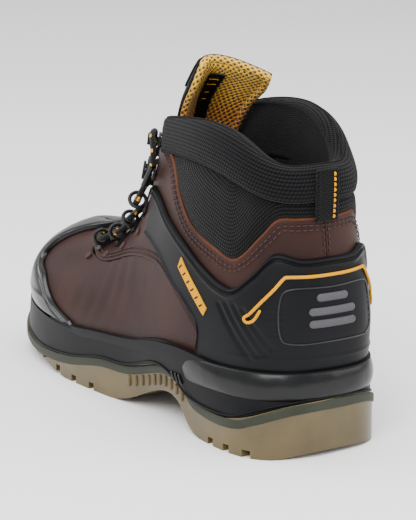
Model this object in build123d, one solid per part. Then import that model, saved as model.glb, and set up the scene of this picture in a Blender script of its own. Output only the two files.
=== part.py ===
from build123d import *
import math
import os

os.makedirs("parts", exist_ok=True)

# ---------------------------------------------------------------- driving dimensions (mm)
# The last is drawn at a base size and graded up to about EU 43 / UK 9.
GRADE = 1.03             # size grading applied to every point of the last
CENTRE_SHIFT = (-0.14, -1.25)   # moves the finished boot so that its bounding box is centred
Y_SHIFT = 11.8           # brings the graded last back over the middle of the sole
CENTRE_X = -2.0          # plane where the lateral and medial halves of a piece are joined

LEATHER = 2.0            # upper leather thickness
LAYER_GAP = 0.15         # glue and stitch clearance between stacked layers
OVERLAY = 2.0            # moulded side support thickness
BUMPER = 4.0             # rubber toe bumper thickness
STEEL = 1.8              # steel toe cap thickness
STIFFENER = 1.6          # heel counter thickness
LINING = 1.3             # lower lining thickness
COLLAR_SKIN = 1.4        # textile skin of the collar
PADDING = 8.5            # collar foam thickness
BOARD = 2.0              # insole board thickness
PLATE = 1.2              # anti-penetration plate thickness
FOOTBED = 4.5            # removable footbed thickness
LACE_R = 2.1             # lace radius
TONGUE_SWING = 11.0      # travel of the tongue, degrees

# Stations run from the back of the heel (0) to the tip of the toe (14).
# Each rib is a cubic curve: feather edge, lower handle, upper handle, rim or instep ridge.
LATERAL_FEATHER = [
    (-2, 130, 46), (20, 127, 46), (36, 110, 46), (43, 88, 45), (48, 62, 44),
    (50, 36, 44), (51, 12, 40), (52, -10, 38), (53, -30, 36), (54, -50, 33),
    (54, -72, 33), (52, -96, 34), (47, -118, 36), (30, -140, 39), (-4, -149, 41),
]
LATERAL_LOW = [
    (-1, 139, 75), (24, 135, 75), (42, 117, 74), (49, 92, 73), (52, 66, 70),
    (52, 42, 66), (51, 18, 62), (51, -4, 60), (53, -26, 58), (56, -50, 55),
    (58, -72, 56), (58, -98, 60), (52, -122, 64), (33, -148, 68), (-5, -158, 70),
]
LATERAL_HIGH = [
    (0, 127, 115), (20, 122, 115), (33, 106, 115), (38, 80, 116), (40, 54, 118),
    (35, 30, 119), (28, 6, 116), (24, -12, 110), (23, -24, 99), (23, -38, 90),
    (24, -54, 83), (26, -74, 79), (27, -98, 76), (19, -116, 76), (-4, -128, 78),
]
LATERAL_RIM = [
    (0, 127, 161), (19, 122, 158), (30, 108, 164), (35, 88, 177), (36, 62, 180),
    (33, 36, 177), (28, 10, 174), (21, -10, 169), (-4, -25, 154), (-4, -24, 126),
    (-5, -30, 105), (-6, -52, 88), (-6, -80, 79), (-6, -104, 75.5), (-6, -116, 75),
]
MEDIAL_FEATHER = [
    (-22, 130, 46), (-36, 116, 46), (-39, 92, 45), (-38, 62, 44), (-36, 36, 42),
    (-38, 12, 40), (-42, -12, 38), (-48, -34, 36), (-52, -56, 34), (-54, -78, 34),
    (-52, -100, 35), (-46, -122, 37), (-30, -142, 40),
]
MEDIAL_LOW = [
    (-26, 138, 75), (-41, 122, 74), (-46, 94, 73), (-45, 62, 71), (-43, 36, 69),
    (-44, 12, 65), (-47, -10, 62), (-51, -32, 59), (-56, -55, 57), (-59, -78, 58),
    (-58, -102, 62), (-51, -126, 66), (-34, -150, 69),
]
MEDIAL_HIGH = [
    (-20, 122, 115), (-32, 108, 115), (-37, 80, 116), (-39, 54, 118), (-35, 30, 119),
    (-28, 6, 116), (-24, -12, 110), (-23, -24, 99), (-23, -38, 90), (-24, -54, 83),
    (-26, -74, 79), (-27, -98, 76), (-20, -116, 76),
]
MEDIAL_RIM = [
    (-19, 122, 158), (-30, 108, 162), (-36, 88, 178), (-38, 62, 184), (-35, 36, 183),
    (-29, 10, 178), (-21, -10, 171), (4, -25, 154), (4, -24, 126), (3, -30, 105),
    (2, -52, 88), (2, -80, 79), (2, -104, 75.5),
]
TOE = 14                 # index of the toe centre station

# Sole outline at the ground, from the back of the heel round the lateral side.
SOLE_OUTLINE = [
    (-2, 134), (22, 131), (38, 121), (46, 100), (47, 72), (47, 45), (48, 18), (52, -10),
    (56, -38), (58, -64), (57, -92), (51, -120), (37, -142), (15, -154), (-6, -157),
    (-27, -151), (-44, -136), (-55, -112), (-58, -84), (-57, -60), (-52, -34), (-45, -8),
    (-41, 18), (-40, 45), (-41, 72), (-42, 100), (-37, 121), (-24, 131),
]
# Side profiles, (y, z) along the sole from toe to heel.
TREAD_PROFILE = [
    (-162, 17), (-140, 10), (-118, 7.5), (-93, 5.5), (-78, 3), (-60, 0), (-15, 0), (3, 4),
    (13, 8.5), (28, 15), (43, 18), (54, 14.5), (60, 8), (66, 3), (76, 0), (126, 0), (140, 6),
]
SEAM_PROFILE = [
    (-166, 25), (-140, 20), (-118, 15), (-92, 12.5), (-57, 15.5), (-25, 22), (3, 24),
    (37, 33), (56, 30), (71, 21), (104, 20), (120, 25), (132, 31), (142, 33),
]
TOP_PROFILE = [
    (-170, 41), (-149, 40.5), (-140, 39), (-118, 36), (-96, 34), (-72, 33), (-50, 33),
    (-30, 35.5), (-10, 37.5), (12, 40), (36, 42.5), (62, 44), (88, 45), (110, 46), (142, 46),
]


# ---------------------------------------------------------------- the last
def graded(p):
    return Vector(p[0] * GRADE, p[1] * GRADE + Y_SHIFT, p[2] * GRADE)


def side_rows(lateral, medial, ridge):
    """Extend each side's row one and two stations past both centre lines."""
    lat = [medial[1], medial[0]] + lateral + [medial[-1], medial[-2]]
    med = [lateral[2], lateral[1], lateral[0]] + medial + [lateral[-1], lateral[-2], lateral[-3]]
    if ridge:
        lat[-2:] = [lateral[-1], lateral[-1]]
        med[-3:] = [(2, -116, 75)] * 3
    return lat, med


ROWS = [
    side_rows(LATERAL_FEATHER, MEDIAL_FEATHER, False),
    side_rows(LATERAL_LOW, MEDIAL_LOW, False),
    side_rows(LATERAL_HIGH, MEDIAL_HIGH, False),
    side_rows(LATERAL_RIM, MEDIAL_RIM, True),
]


def row_point(row, k):
    """Uniform cubic B-spline along a row of stations."""
    i = min(max(int(math.floor(k)), -1), TOE)
    f = k - i
    w = (
        (1 - f) ** 3 / 6,
        (3 * f ** 3 - 6 * f ** 2 + 4) / 6,
        (-3 * f ** 3 + 3 * f ** 2 + 3 * f + 1) / 6,
        f ** 3 / 6,
    )
    pts = [row[min(max(i + j + 1, 0), len(row) - 1)] for j in range(4)]
    return [sum(w[j] * pts[j][c] for j in range(4)) for c in range(3)]


def last_point(side, k, t):
    """Point on the outer face of the upper: k along the foot, t from feather edge to rim."""
    b, lo, hi, r = [row_point(rows[side], k) for rows in ROWS]
    a = 1 - t
    w = (a ** 3, 3 * a * a * t, 3 * a * t * t, t ** 3)
    return graded([w[0] * b[c] + w[1] * lo[c] + w[2] * hi[c] + w[3] * r[c] for c in range(3)])


def last_normal(side, k, t):
    """Outward unit normal of the upper."""
    e = 0.01
    tc = min(max(t, e), 1 - e)
    dk = last_point(side, k + e, tc) - last_point(side, k - e, tc)
    dt = last_point(side, k, tc + e) - last_point(side, k, tc - e)
    n = dt.cross(dk).normalized()
    return n if side == 0 else n * -1


def on_last(side, k, t, h=0.0):
    return last_point(side, k, t) + last_normal(side, k, t) * h


# ---------------------------------------------------------------- curved sheet solids
def smooth(points, u):
    """Catmull-Rom through a list of tuples, u from 0 to 1."""
    n = len(points) - 1
    x = min(max(u, 0.0), 1.0) * n
    i = min(int(x), n - 1)
    f = x - i
    p1 = points[i]
    p2 = points[i + 1]
    p0 = points[i - 1] if i > 0 else [2 * a - b for a, b in zip(p1, p2)]
    p3 = points[i + 2] if i + 2 <= n else [2 * b - a for a, b in zip(p1, p2)]
    return [
        0.5 * (2 * b + (c - a) * f + (2 * a - 5 * b + 4 * c - d) * f * f
               + (3 * b - a - 3 * c + d) * f ** 3)
        for a, b, c, d in zip(p0, p1, p2, p3)
    ]


def edge_near(face, point):
    return min(face.edges(), key=lambda e: e.distance_to(point))


def sheet_solid(outer, inner, tol=0.01):
    """Closed solid between two grids of points with the same rows and columns."""
    top = Face.make_surface_from_array_of_points(outer, tol=tol)
    bottom = Face.make_surface_from_array_of_points(inner, tol=tol)
    n = len(outer) // 2
    m = len(outer[0]) // 2
    faces = [top, bottom]
    for pick in (lambda g: g[n][0], lambda g: g[n][-1], lambda g: g[0][m], lambda g: g[-1][m]):
        a = edge_near(top, pick(outer))
        b = edge_near(bottom, pick(inner))
        faces.append(Face.make_surface_from_curves(a, b))
    solid = Solid(Shell(faces))
    if solid.volume < 0:
        solid = Solid(solid.wrapped.Reversed())
    return solid


def panel(side, low, high, outer, inner, rows=9, cols=None):
    """Sheet lying on one side of the last between a lower and an upper edge in (k, t).

    outer and inner are heights above the leather face, each a number or a function of
    the place along (u) and across (v) the panel.
    """
    cols = cols or (len(low) - 1) * 3 + 1
    grids = [[], []]
    for i in range(cols):
        u = i / (cols - 1)
        a = smooth(low, u)
        b = smooth(high, u)
        for grid, h in zip(grids, (outer, inner)):
            line = []
            for j in range(rows):
                v = j / (rows - 1)
                k = a[0] + (b[0] - a[0]) * v
                t = a[1] + (b[1] - a[1]) * v
                line.append(on_last(side, k, t, h(u, v) if callable(h) else h))
            grid.append(line)
    return sheet_solid(*grids)


BIG = 400.0
CUT_X = CENTRE_X * GRADE
LATERAL_SPACE = Pos(CUT_X + BIG / 2, 0, 0) * Box(BIG, 2 * BIG, 2 * BIG)
MEDIAL_SPACE = Pos(CUT_X - BIG / 2, 0, 0) * Box(BIG, 2 * BIG, 2 * BIG)


def both_halves(low, high, outer, inner, rows=9):
    """One piece that runs across the centre plane: two halves trimmed on it and joined."""
    lat = panel(0, low, high, outer, inner, rows) & LATERAL_SPACE
    med = panel(1, low, high, outer, inner, rows) & MEDIAL_SPACE
    return (lat + med).solids()


RIDGE_GAP = 0.04         # each side of a wrapped piece stops this far from the centre plane


def meet_on_plane(line, ts, side):
    """Draws the top of one side's rib over to the centre plane, where both sides meet."""
    out = 1 if side == 0 else -1
    short = (CUT_X - line[-1].X) * out + RIDGE_GAP
    if short <= 0:
        return line
    moved = []
    for point, t in zip(line, ts):
        x = min(max((t - 0.5) / (ts[-1] - 0.5), 0), 1)
        moved.append(point + Vector(out * short * x * x * (3 - 2 * x), 0, 0))
    return moved


def around_toe(low, high, outer, inner, steps=3, tol=0.01):
    """Sheet wrapped round the toe in one piece, its sides meeting on the centre plane."""
    rows = 11
    count = (len(low) - 1) * steps
    grids = [[], []]
    for i in range(2 * count + 1):
        side = 0 if i <= count else 1
        u = (i if side == 0 else 2 * count - i) / count
        a = smooth(low, u)
        b = smooth(high, u)
        vs = [j / (rows - 1) for j in range(rows)]
        ts = [a[1] + (min(b[1], 1.0) - a[1]) * v for v in vs]
        for grid, height in zip(grids, (outer, inner)):
            line = []
            for v, t in zip(vs, ts):
                h = height(u, v) if callable(height) else height
                line.append(on_last(side, a[0] + (b[0] - a[0]) * v, t, h))
            grid.append(meet_on_plane(line, ts, side))
    return sheet_solid(*grids, tol)


def around_heel(section_at, far, count):
    """Grids of sections from the lateral end, round the back of the heel, to the medial end."""
    grids = [[], []]
    for i in range(-count, count + 1):
        side = 0 if i <= 0 else 1
        u = abs(i) / count
        for grid, inner in zip(grids, (False, True)):
            grid.append(section_at(side, u * far, inner))
    return sheet_solid(*grids)


def heel_panel(low, high, outer, inner, rows=7):
    """Sheet wrapped round the back of the heel, the same outline on both sides."""
    far = len(low) - 1

    def section(side, x, is_inner):
        u = x / far
        a = smooth(low, u)
        b = smooth(high, u)
        h = inner if is_inner else outer
        line = []
        for j in range(rows):
            v = j / (rows - 1)
            k = a[0] + (b[0] - a[0]) * v
            t = a[1] + (b[1] - a[1]) * v
            line.append(on_last(side, k, t, h(u, v) if callable(h) else h))
        return line

    return around_heel(section, far, far * 3)


def node(name, shape):
    """Write the STEP file of one node."""
    solids = shape if isinstance(shape, (list, ShapeList)) else shape.solids()
    centred = [Pos(CENTRE_SHIFT[0], CENTRE_SHIFT[1], 0) * s for s in solids]
    body = centred[0] if len(centred) == 1 else Compound(centred)
    export_step(body, f"parts/{name}.step")


# ---------------------------------------------------------------- outline curves in (k, t)
LEATHER_TOP = [
    (0.04, 0.77), (0.8, 0.78), (1.35, 0.77), (1.8, 0.69), (2.5, 0.565), (3.2, 0.58),
    (4.1, 0.63), (4.9, 0.72), (5.45, 0.86), (6.2, 0.965), (6.75, 0.95), (7.4, 0.87),
    (8.4, 0.80), (9.4, 0.77), (10.4, 0.75), (11.3, 0.74),
]
QUARTER_LOW = [
    (0.04, 0), (0.8, 0), (1.4, 0), (2, 0), (2.6, 0), (3.2, 0), (3.9, 0), (4.6, 0),
    (5.2, 0.02), (5.6, 0.16), (6.1, 0.32), (6.8, 0.44), (7.6, 0.48), (8.6, 0.49),
    (9.7, 0.51), (11.0, 0.60),
]
VAMP_LOW = [
    (5.45, 0), (6.2, 0), (7.2, 0), (8.0, 0), (8.8, 0), (9.6, 0), (10.6, 0), (11.5, 0),
    (12.3, 0), (13.1, 0), (14, 0),
]
VAMP_TOP = [
    (5.6, 0.12), (6.15, 0.31), (6.85, 0.425), (7.7, 0.465), (8.7, 0.475), (9.8, 0.495),
    (11.0, 0.585), (11.75, 0.78), (12.3, 1.0), (13.1, 1.0), (14, 1.0),
]
BUMPER_LOW = [
    (9.3, 0.015), (10.2, 0.015), (11.0, 0.015), (11.7, 0.015), (12.4, 0.015), (13.1, 0.015),
    (13.6, 0.015), (14, 0.015),
]
BUMPER_TOP = [
    (9.5, 0.045), (10.5, 0.12), (11.4, 0.26), (12.3, 0.34), (12.7, 0.62), (13.0, 1.0),
    (13.6, 1.0), (14, 1.0),
]
SUPPORT_LOW = [
    (0, 0.005), (0.7, 0.005), (1.4, 0.005), (2.0, 0.005), (2.6, 0.005), (3.2, 0.005),
    (3.55, 0.05), (3.5, 0.2), (3.95, 0.31), (4.55, 0.38), (5.15, 0.455), (5.8, 0.51),
    (6.5, 0.55),
]
SUPPORT_TOP = [
    (0, 0.61), (0.7, 0.61), (1.4, 0.63), (1.9, 0.54), (2.45, 0.45), (2.9, 0.455),
    (3.3, 0.485), (3.7, 0.52), (4.15, 0.56), (4.7, 0.6), (5.3, 0.645), (5.9, 0.70),
    (6.5, 0.735),
]
COLLAR_GROOVE = 0.845    # t of the seam between the collar roll and the ankle panel
ROLL_END = 6.2           # station where the collar roll stops at the lacing

# ---------------------------------------------------------------- leather upper
node("vamp", around_toe(VAMP_LOW, VAMP_TOP, 0, -LEATHER))
for side, label in ((0, "lateral"), (1, "medial")):
    node(f"quarter_{label}", panel(side, QUARTER_LOW, LEATHER_TOP, 0, -LEATHER, 11))

node("side_support", heel_panel(SUPPORT_LOW, SUPPORT_TOP, LAYER_GAP + OVERLAY, LAYER_GAP, 11))


BUMPER_GAP = 0.35        # glue line under the toe bumper
BUMPER_FIT = 0.2         # looser fit, so the sharply turning inner edge doesn't ripple the sheet


def bumper_skin(u, v):
    """Thin at the rounded inner edge, full thickness below it."""
    return BUMPER_GAP + BUMPER * (0.45 + 0.55 * math.sin(math.pi * min(1, 1.25 * (1 - v)) / 2))


node("toe_bumper", around_toe(BUMPER_LOW, BUMPER_TOP, bumper_skin, BUMPER_GAP, 2, BUMPER_FIT))

# ---------------------------------------------------------------- trims on the side support
ON_SUPPORT = LAYER_GAP + OVERLAY + LAYER_GAP
TRIM_T = 1.0             # thickness of the thin trims
TRIM_LINE_LOW = [(0, 0.522), (0.5, 0.52), (1.0, 0.515), (1.3, 0.465), (1.6, 0.40), (1.9, 0.335)]
TRIM_LINE_TOP = [(0, 0.542), (0.5, 0.54), (1.1, 0.54), (1.4, 0.485), (1.7, 0.42), (2.0, 0.352)]
BAR_HEIGHT = 0.034
BARS = [(0.42, 0.412), (0.62, 0.345), (0.62, 0.283)]

node("heel_trim_line", heel_panel(TRIM_LINE_LOW, TRIM_LINE_TOP, ON_SUPPORT + TRIM_T, ON_SUPPORT, 3))
bars = []
for reach, t0 in BARS:
    low = [(0, t0), (reach / 2, t0), (reach, t0)]
    top = [(k, t + BAR_HEIGHT) for k, t in low]
    bars.append(heel_panel(low, top, ON_SUPPORT + 1.8, ON_SUPPORT, 4))
node("reflective_bars", bars)
BADGE_LOW = [(3.3, 0.285), (3.62, 0.35), (3.95, 0.41), (4.3, 0.465)]
BADGE_TOP = [(3.2, 0.325), (3.5, 0.39), (3.85, 0.45), (4.2, 0.508)]
badges = [panel(s, BADGE_LOW, BADGE_TOP, ON_SUPPORT + 1.2, ON_SUPPORT, 5) for s in (0, 1)]
node("side_badges", badges)

# ---------------------------------------------------------------- ankle panels and collar
PANEL_LOW = [
    (0.04, 0.785), (0.8, 0.795), (1.35, 0.785), (1.83, 0.705), (2.5, 0.58), (3.2, 0.595),
    (4.05, 0.645), (4.82, 0.735), (5.15, 0.81),
]
PANEL_TOP = [
    (0.04, 0.84), (0.8, 0.84), (1.4, 0.84), (2.0, 0.84), (2.6, 0.84), (3.2, 0.84),
    (3.95, 0.84), (4.75, 0.84), (5.3, 0.838),
]


def ankle_skin(u, v):
    return 0.8 * math.sin(math.pi * v) - 0.2


for side, label in ((0, "lateral"), (1, "medial")):
    node(f"ankle_panel_{label}", panel(side, PANEL_LOW, PANEL_TOP, ankle_skin, -LEATHER))

PAD_DEPTH = [(-0.3, 12.0), (1, 12.0), (2, 12.2), (3, 12.2), (4, 11), (5, 7.6), (6.3, 3.4)]
ROLL_FOOT = 0.855        # t of the roll's lower edge on the outside
ROLL_T = 0.955           # t of the centre of the rolled top edge
ROLL_SWELL = 2.2         # how far the roll bulges out between its edge and its crown
ROLL_CROWN = 0.8         # height of the crown against its half thickness
ROLL_HEM = 0.14          # reach of the cover down the inside, in t


def pad_depth(k):
    """How far the collar reaches in from the leather face."""
    for (k0, d0), (k1, d1) in zip(PAD_DEPTH, PAD_DEPTH[1:]):
        if k <= k1:
            return d0 + (d1 - d0) * (k - k0) / (k1 - k0)
    return PAD_DEPTH[-1][1]


def roll_section(side, k, skin):
    """One section of the collar cover: up the outside, over the top and down the inside."""
    depth = pad_depth(k)
    out = 0.6 - skin
    inside = -depth + skin
    centre = (out + inside) / 2
    radius = (out - inside) / 2
    pts = []
    for j in range(5):
        v = j / 4
        swell = ROLL_SWELL * math.sin(math.pi * (0.12 + 0.88 * v))
        pts.append(on_last(side, k, ROLL_FOOT + (ROLL_T - ROLL_FOOT) * v, out + swell))
    base = on_last(side, k, ROLL_T, centre)
    n = last_normal(side, k, ROLL_T)
    up = (on_last(side, k, 1.0) - on_last(side, k, 0.93)).normalized()
    for j in range(1, 6):
        a = math.pi * j / 6
        across = n * (radius * math.cos(a))
        pts.append(base + across + up * (ROLL_CROWN * radius * math.sin(a)))
    for j in range(5):
        pts.append(on_last(side, k, ROLL_T - ROLL_HEM * j / 4, inside))
    return pts


def roll_at(side, k, is_inner):
    return roll_section(side, k, COLLAR_SKIN if is_inner else 0)


node("collar_roll", around_heel(roll_at, ROLL_END, 20))

PAD_LOW = [(0, 0.62), (1.0, 0.60), (2.0, 0.52), (3.0, 0.52), (4.2, 0.58), (5.2, 0.66), (6.0, 0.74)]
PAD_TOP = [(k, 0.95) for k, t in PAD_LOW]


def pad_inner(u, v):
    k = smooth(PAD_LOW, u)[0]
    return -pad_depth(k) + COLLAR_SKIN + 0.35


node("collar_padding", heel_panel(PAD_LOW, PAD_TOP, -LEATHER - LAYER_GAP, pad_inner))
LINE_LOW = [(0, 0.50), (1.0, 0.50), (2.0, 0.49), (3.0, 0.49), (4.2, 0.55), (5.2, 0.62), (6.2, 0.70)]
LINE_TOP = [(k, 0.808) for k, t in LINE_LOW]


def line_inner(u, v):
    return -pad_depth(smooth(LINE_LOW, u)[0])


def line_outer(u, v):
    return line_inner(u, v) + LINING - LAYER_GAP


node("collar_lining", heel_panel(LINE_LOW, LINE_TOP, line_outer, line_inner))

# ---------------------------------------------------------------- inside the upper
INSIDE = -LEATHER - LAYER_GAP
CAP_LOW = [(11.7, 0.03), (12.4, 0.03), (13.2, 0.03), (14, 0.03)]
CAP_TOP = [(12.6, 1.0), (13.1, 1.0), (13.6, 1.0), (14, 1.0)]
node("steel_toe_cap", around_toe(CAP_LOW, CAP_TOP, INSIDE, INSIDE - STEEL))
STRIP_LOW = [(11.2, 0.05), (11.55, 0.05)]
STRIP_TOP = [(12.2, 1.0), (12.52, 1.0)]
node("toe_cap_edge_strip", both_halves(STRIP_LOW, STRIP_TOP, INSIDE, INSIDE - STEEL))
COUNTER_LOW = [(0, 0.02), (1.0, 0.02), (2.2, 0.02), (3.4, 0.02)]
COUNTER_TOP = [(0, 0.56), (1.0, 0.53), (2.2, 0.40), (3.4, 0.22)]
node("heel_stiffener", heel_panel(COUNTER_LOW, COUNTER_TOP, INSIDE, INSIDE - STIFFENER))
SOCK_LOW = [(k, 0.01) for k in (-0.3, 1, 2, 3, 4.2, 5.4, 6.6, 8, 9.4, 10.6, 11.6, 12.5, 13.4, 14.4)]
SOCK_TOP = [
    (-0.3, 0.47), (1, 0.47), (2, 0.45), (3, 0.45), (4.2, 0.50), (5.4, 0.54), (6.6, 0.58),
    (8, 0.62), (9.4, 0.66), (10.6, 0.72), (11.6, 0.86), (12.5, 1.0), (13.4, 1.0), (14.4, 1.0),
]
SOCK_H = INSIDE - STEEL - 0.3
node("boot_lining", both_halves(SOCK_LOW, SOCK_TOP, SOCK_H, SOCK_H - LINING))

# ---------------------------------------------------------------- sole unit
FEATHER_GAP = 1.0        # the upper's lasted edge stands this far above the midsole core


def profile_band(low, high, low_shift, high_shift):
    """Solid band between two side profiles, as wide as the boot."""
    pts_low = [graded((0, y, z)) + Vector(0, 0, low_shift) for y, z in low]
    pts_high = [graded((0, y, z)) + Vector(0, 0, high_shift) for y, z in high]
    a = Edge.make_spline(pts_low)
    b = Edge.make_spline(pts_high)
    ends = [Edge.make_line(pts_low[0], pts_high[0]), Edge.make_line(pts_low[-1], pts_high[-1])]
    face = Face(Wire([a, ends[1], b, ends[0]]))
    return extrude(face, amount=BIG / 4, dir=(1, 0, 0), both=True)


def outline_wire(points, z):
    flat = [Vector(p.X, p.Y, z) for p in points]
    return Wire([Edge.make_spline(flat, periodic=True)])


def feather_ring(h, t=0.0):
    """Closed ring of points at one height above the leather face, all round the last."""
    lat = [on_last(0, k, t, h) for k in range(0, TOE + 1)]
    med = [on_last(1, k, t, h) for k in range(1, TOE)]
    return lat + med[::-1]


ground = [graded((x, y, 0)) for x, y in SOLE_OUTLINE]
SOLE_TOP_FLARE = 3.6
midsole_block = Solid.make_loft([
    outline_wire(ground, 8.0),
    outline_wire(feather_ring(SOLE_TOP_FLARE), 52.0),
])
outsole_block = extrude(Face(outline_wire(ground, 0.0)), amount=60, dir=(0, 0, 1))
SEAM_GAP = 0.1
midsole = midsole_block & profile_band(SEAM_PROFILE, TOP_PROFILE, SEAM_GAP, -FEATHER_GAP)
RIM_LOW = [(k, -0.06) for k in (-0.3, 1, 2, 3, 4, 5, 6, 7, 8, 9.1)]
RIM_TOP = [
    (-0.3, 0.03), (1, 0.03), (2, 0.03), (3, 0.035), (4, 0.07), (5, 0.06), (6, 0.03), (7, 0.02),
    (8, 0.02), (9.1, 0.02),
]


def rim_inner(u, v):
    """The rim hugs the leather and steps out round the side support."""
    step = min(max((u - 0.43) / 0.08, 0), 1)
    return ON_SUPPORT + (LAYER_GAP * 2 - ON_SUPPORT) * step


rim = both_halves(RIM_LOW, RIM_TOP, SOLE_TOP_FLARE + 0.4, rim_inner, 4)
for piece in rim:
    midsole = midsole + piece
node("midsole", midsole)

outsole = outsole_block & profile_band(TREAD_PROFILE, SEAM_PROFILE, 0, 0)
GROOVE_W = 5.0
GROOVE_D = 4.5
GROOVES = [(-126, 8.4), (-108, 6.6), (-90, 5), (-72, 1.8), (-54, 0), (-36, 0), (84, 0), (98, 0), (112, 0)]
cutter_span = 100.0
for i, (y, z) in enumerate(GROOVES):
    for direction in (1, -1):
        y_mid = y + (3 if direction > 0 else -3)
        at = graded((direction * (10 + cutter_span / 2), y_mid, z))
        outsole = outsole - Pos(at.X, at.Y, at.Z + GROOVE_D - 10) * Box(cutter_span, GROOVE_W, 20)
node("outsole", outsole)

BOARD_INSET = SOCK_H - LINING - 0.5


def sole_sheet(inset, low, high):
    """Flat sheet that follows the top of the midsole between two heights above it."""
    block = extrude(Face(outline_wire(feather_ring(inset), 10.0)), amount=80, dir=(0, 0, 1))
    return block & profile_band(TOP_PROFILE, TOP_PROFILE, low, high)


BOARD_Z = -FEATHER_GAP + 0.2
node("insole_board", sole_sheet(BOARD_INSET, BOARD_Z, BOARD_Z + BOARD))
PLATE_Z = BOARD_Z + BOARD + 0.2
node("penetration_plate", sole_sheet(BOARD_INSET - 0.6, PLATE_Z, PLATE_Z + PLATE))
BED_Z = PLATE_Z + PLATE + 0.2
node("footbed", sole_sheet(BOARD_INSET - 1.0, BED_Z, BED_Z + FOOTBED))

# ---------------------------------------------------------------- tongue
# Rows from the hinge at its foot to its top: centre, lateral edge, medial edge.
TONGUE_ROWS = [
    (-1, -76, 71.5, 14, -78, 68, -16, -78, 68),
    (0, -55, 78, 20, -53, 72.5, -20, -53, 72.5),
    (0, -37, 93.5, 23, -34, 83, -23, -34, 83),
    (0, -21.5, 113, 22.5, -10, 108, -22.5, -10, 108),
    (0, -17, 134, 21, -5, 130, -21, -5, 130),
    (0, -12.5, 156, 21, 3, 151, -21, 4, 151),
    (0, -3, 177, 20.5, 11, 173, -21, 20, 172),
    (0, 10, 193, 20, 20, 187, -22.5, 34, 184),
    (1, 22, 202.5, 16, 23, 199, -20, 43, 193),
]
TONGUE_SKIN = 1.2
TONGUE_GAP = 0.35        # clearance between the tongue's outer skin and its foam
TONGUE_CORE = 4.6        # foam thickness at the middle of the tongue


def tongue_point(w, v):
    """Outer face of the tongue: w from foot to top, v across from medial (-1) to lateral (1)."""
    r = smooth(TONGUE_ROWS, w)
    c, lat, med = r[0:3], r[3:6], r[6:9]
    p = [c[i] + v * (lat[i] - med[i]) / 2 + v * v * ((lat[i] + med[i]) / 2 - c[i]) for i in range(3)]
    return graded(p)


def on_tongue(w, v, h):
    e = 0.02
    wc = min(max(w, e), 1 - e)
    n = (tongue_point(wc + e, v) - tongue_point(wc - e, v)).cross(
        tongue_point(wc, v + e) - tongue_point(wc, v - e)).normalized()
    return tongue_point(w, v) - n * h


def tongue_sheet(w0, w1, v0, v1, outer, inner, rows=25, cols=13):
    grids = [[], []]
    for i in range(rows):
        w = w0 + (w1 - w0) * i / (rows - 1)
        for grid, h in zip(grids, (outer, inner)):
            vs = [v0 + (v1 - v0) * j / (cols - 1) for j in range(cols)]
            grid.append([on_tongue(w, v, h(w, v) if callable(h) else h) for v in vs])
    return sheet_solid(*grids)


def core_floor(w, v):
    """Inner face of the tongue foam, thinner towards the bound edges."""
    return -TONGUE_SKIN - TONGUE_GAP - 0.8 - (TONGUE_CORE - 0.8) * (1 - v ** 4)


def lining_top(w, v):
    return core_floor(w, v) - TONGUE_GAP


def lining_floor(w, v):
    return lining_top(w, v) - TONGUE_SKIN


node("tongue", tongue_sheet(0, 1, -1, 1, 0, -TONGUE_SKIN))
node("tongue_padding", tongue_sheet(0.02, 0.985, -0.97, 0.97, -TONGUE_SKIN - TONGUE_GAP, core_floor))
node("tongue_lining", tongue_sheet(0.01, 0.99, -0.99, 0.99, lining_top, lining_floor))
LABEL_T = 0.6
node("tongue_label", tongue_sheet(
    0.66, 0.93, -0.36, 0.3,
    lambda w, v: lining_floor(w, v) - LAYER_GAP,
    lambda w, v: lining_floor(w, v) - LAYER_GAP - LABEL_T, 9, 7))
node("tongue_front_patch", tongue_sheet(0.80, 0.97, -0.62, 0.62, LAYER_GAP + 1.4, LAYER_GAP, 9, 9))

# ---------------------------------------------------------------- lace hardware
LOOPS = [(10.5, 0.64), (9.6, 0.655), (8.6, 0.67)]
LOCK = [(7.45, 0.69)]
HOOKS = [(6.95, 0.79), (6.8, 0.895)]
EYELETS = LOOPS + LOCK + HOOKS
# Where the lace from each eyelet row passes over the edge of the leather.
EDGE_PLACES = [(10.65, 0.735), (9.85, 0.75), (8.95, 0.765), (7.85, 0.79), (7.35, 0.84), (7.2, 0.91)]
HARDWARE_FOOT = 0.25     # clearance of each base plate above the leather
PLATE_T = 1.3
RING_WIRE = 1.15
LOOP_R = 4.4
LOCK_R = 4.9
RING_RISE = 0.15         # height of the foot of each ring above the underside of its plate
HOOK_SEAT = 3.75         # height of a lace lying in a hook, above the underside of its plate
HOOK_STEM = 3.0          # width of the bent neck of a hook


def ring_lift(ring_r):
    return ring_r + RING_WIRE + RING_RISE


LIFTS = [ring_lift(LOOP_R)] * 3 + [ring_lift(LOCK_R)] + [HOOK_SEAT] * 2


def seat(side, i):
    """Frame of eyelet i on the leather: x towards the lacing gap, z outward."""
    k, t = EYELETS[i]
    ke, te = EDGE_PLACES[i]
    n = last_normal(side, k, t)
    to_gap = on_last(side, ke, te) - on_last(side, k, t)
    to_gap = (to_gap - n * to_gap.dot(n)).normalized()
    return Plane(origin=on_last(side, k, t, HARDWARE_FOOT), x_dir=to_gap, z_dir=n)


def loop(ring_r, length, width):
    """Base plate with a wire ring standing on it."""
    plate = extrude(RectangleRounded(length, width, 2.0), amount=PLATE_T)
    ring = Plane(origin=(0, 0, ring_lift(ring_r)), x_dir=(1, 0, 0), z_dir=(0, 1, 0)) * Torus(
        ring_r, RING_WIRE)
    return (plate + ring).solid()


def hook():
    """Speed hook: base plate with a bent tongue open away from the lacing gap."""
    plate = extrude(RectangleRounded(11, 9, 2.5), amount=PLATE_T)
    stem = Pos(3.4, 0, 3.9) * Box(1.6, HOOK_STEM, 6.2)
    top = Pos(-0.5, 0, 6.95) * Box(9.4, 6.4, 1.5)
    lip = Pos(-4.5, 0, 6.2) * Box(1.5, 6.4, 2.4)
    return (plate + stem + top + lip).solid()


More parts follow.
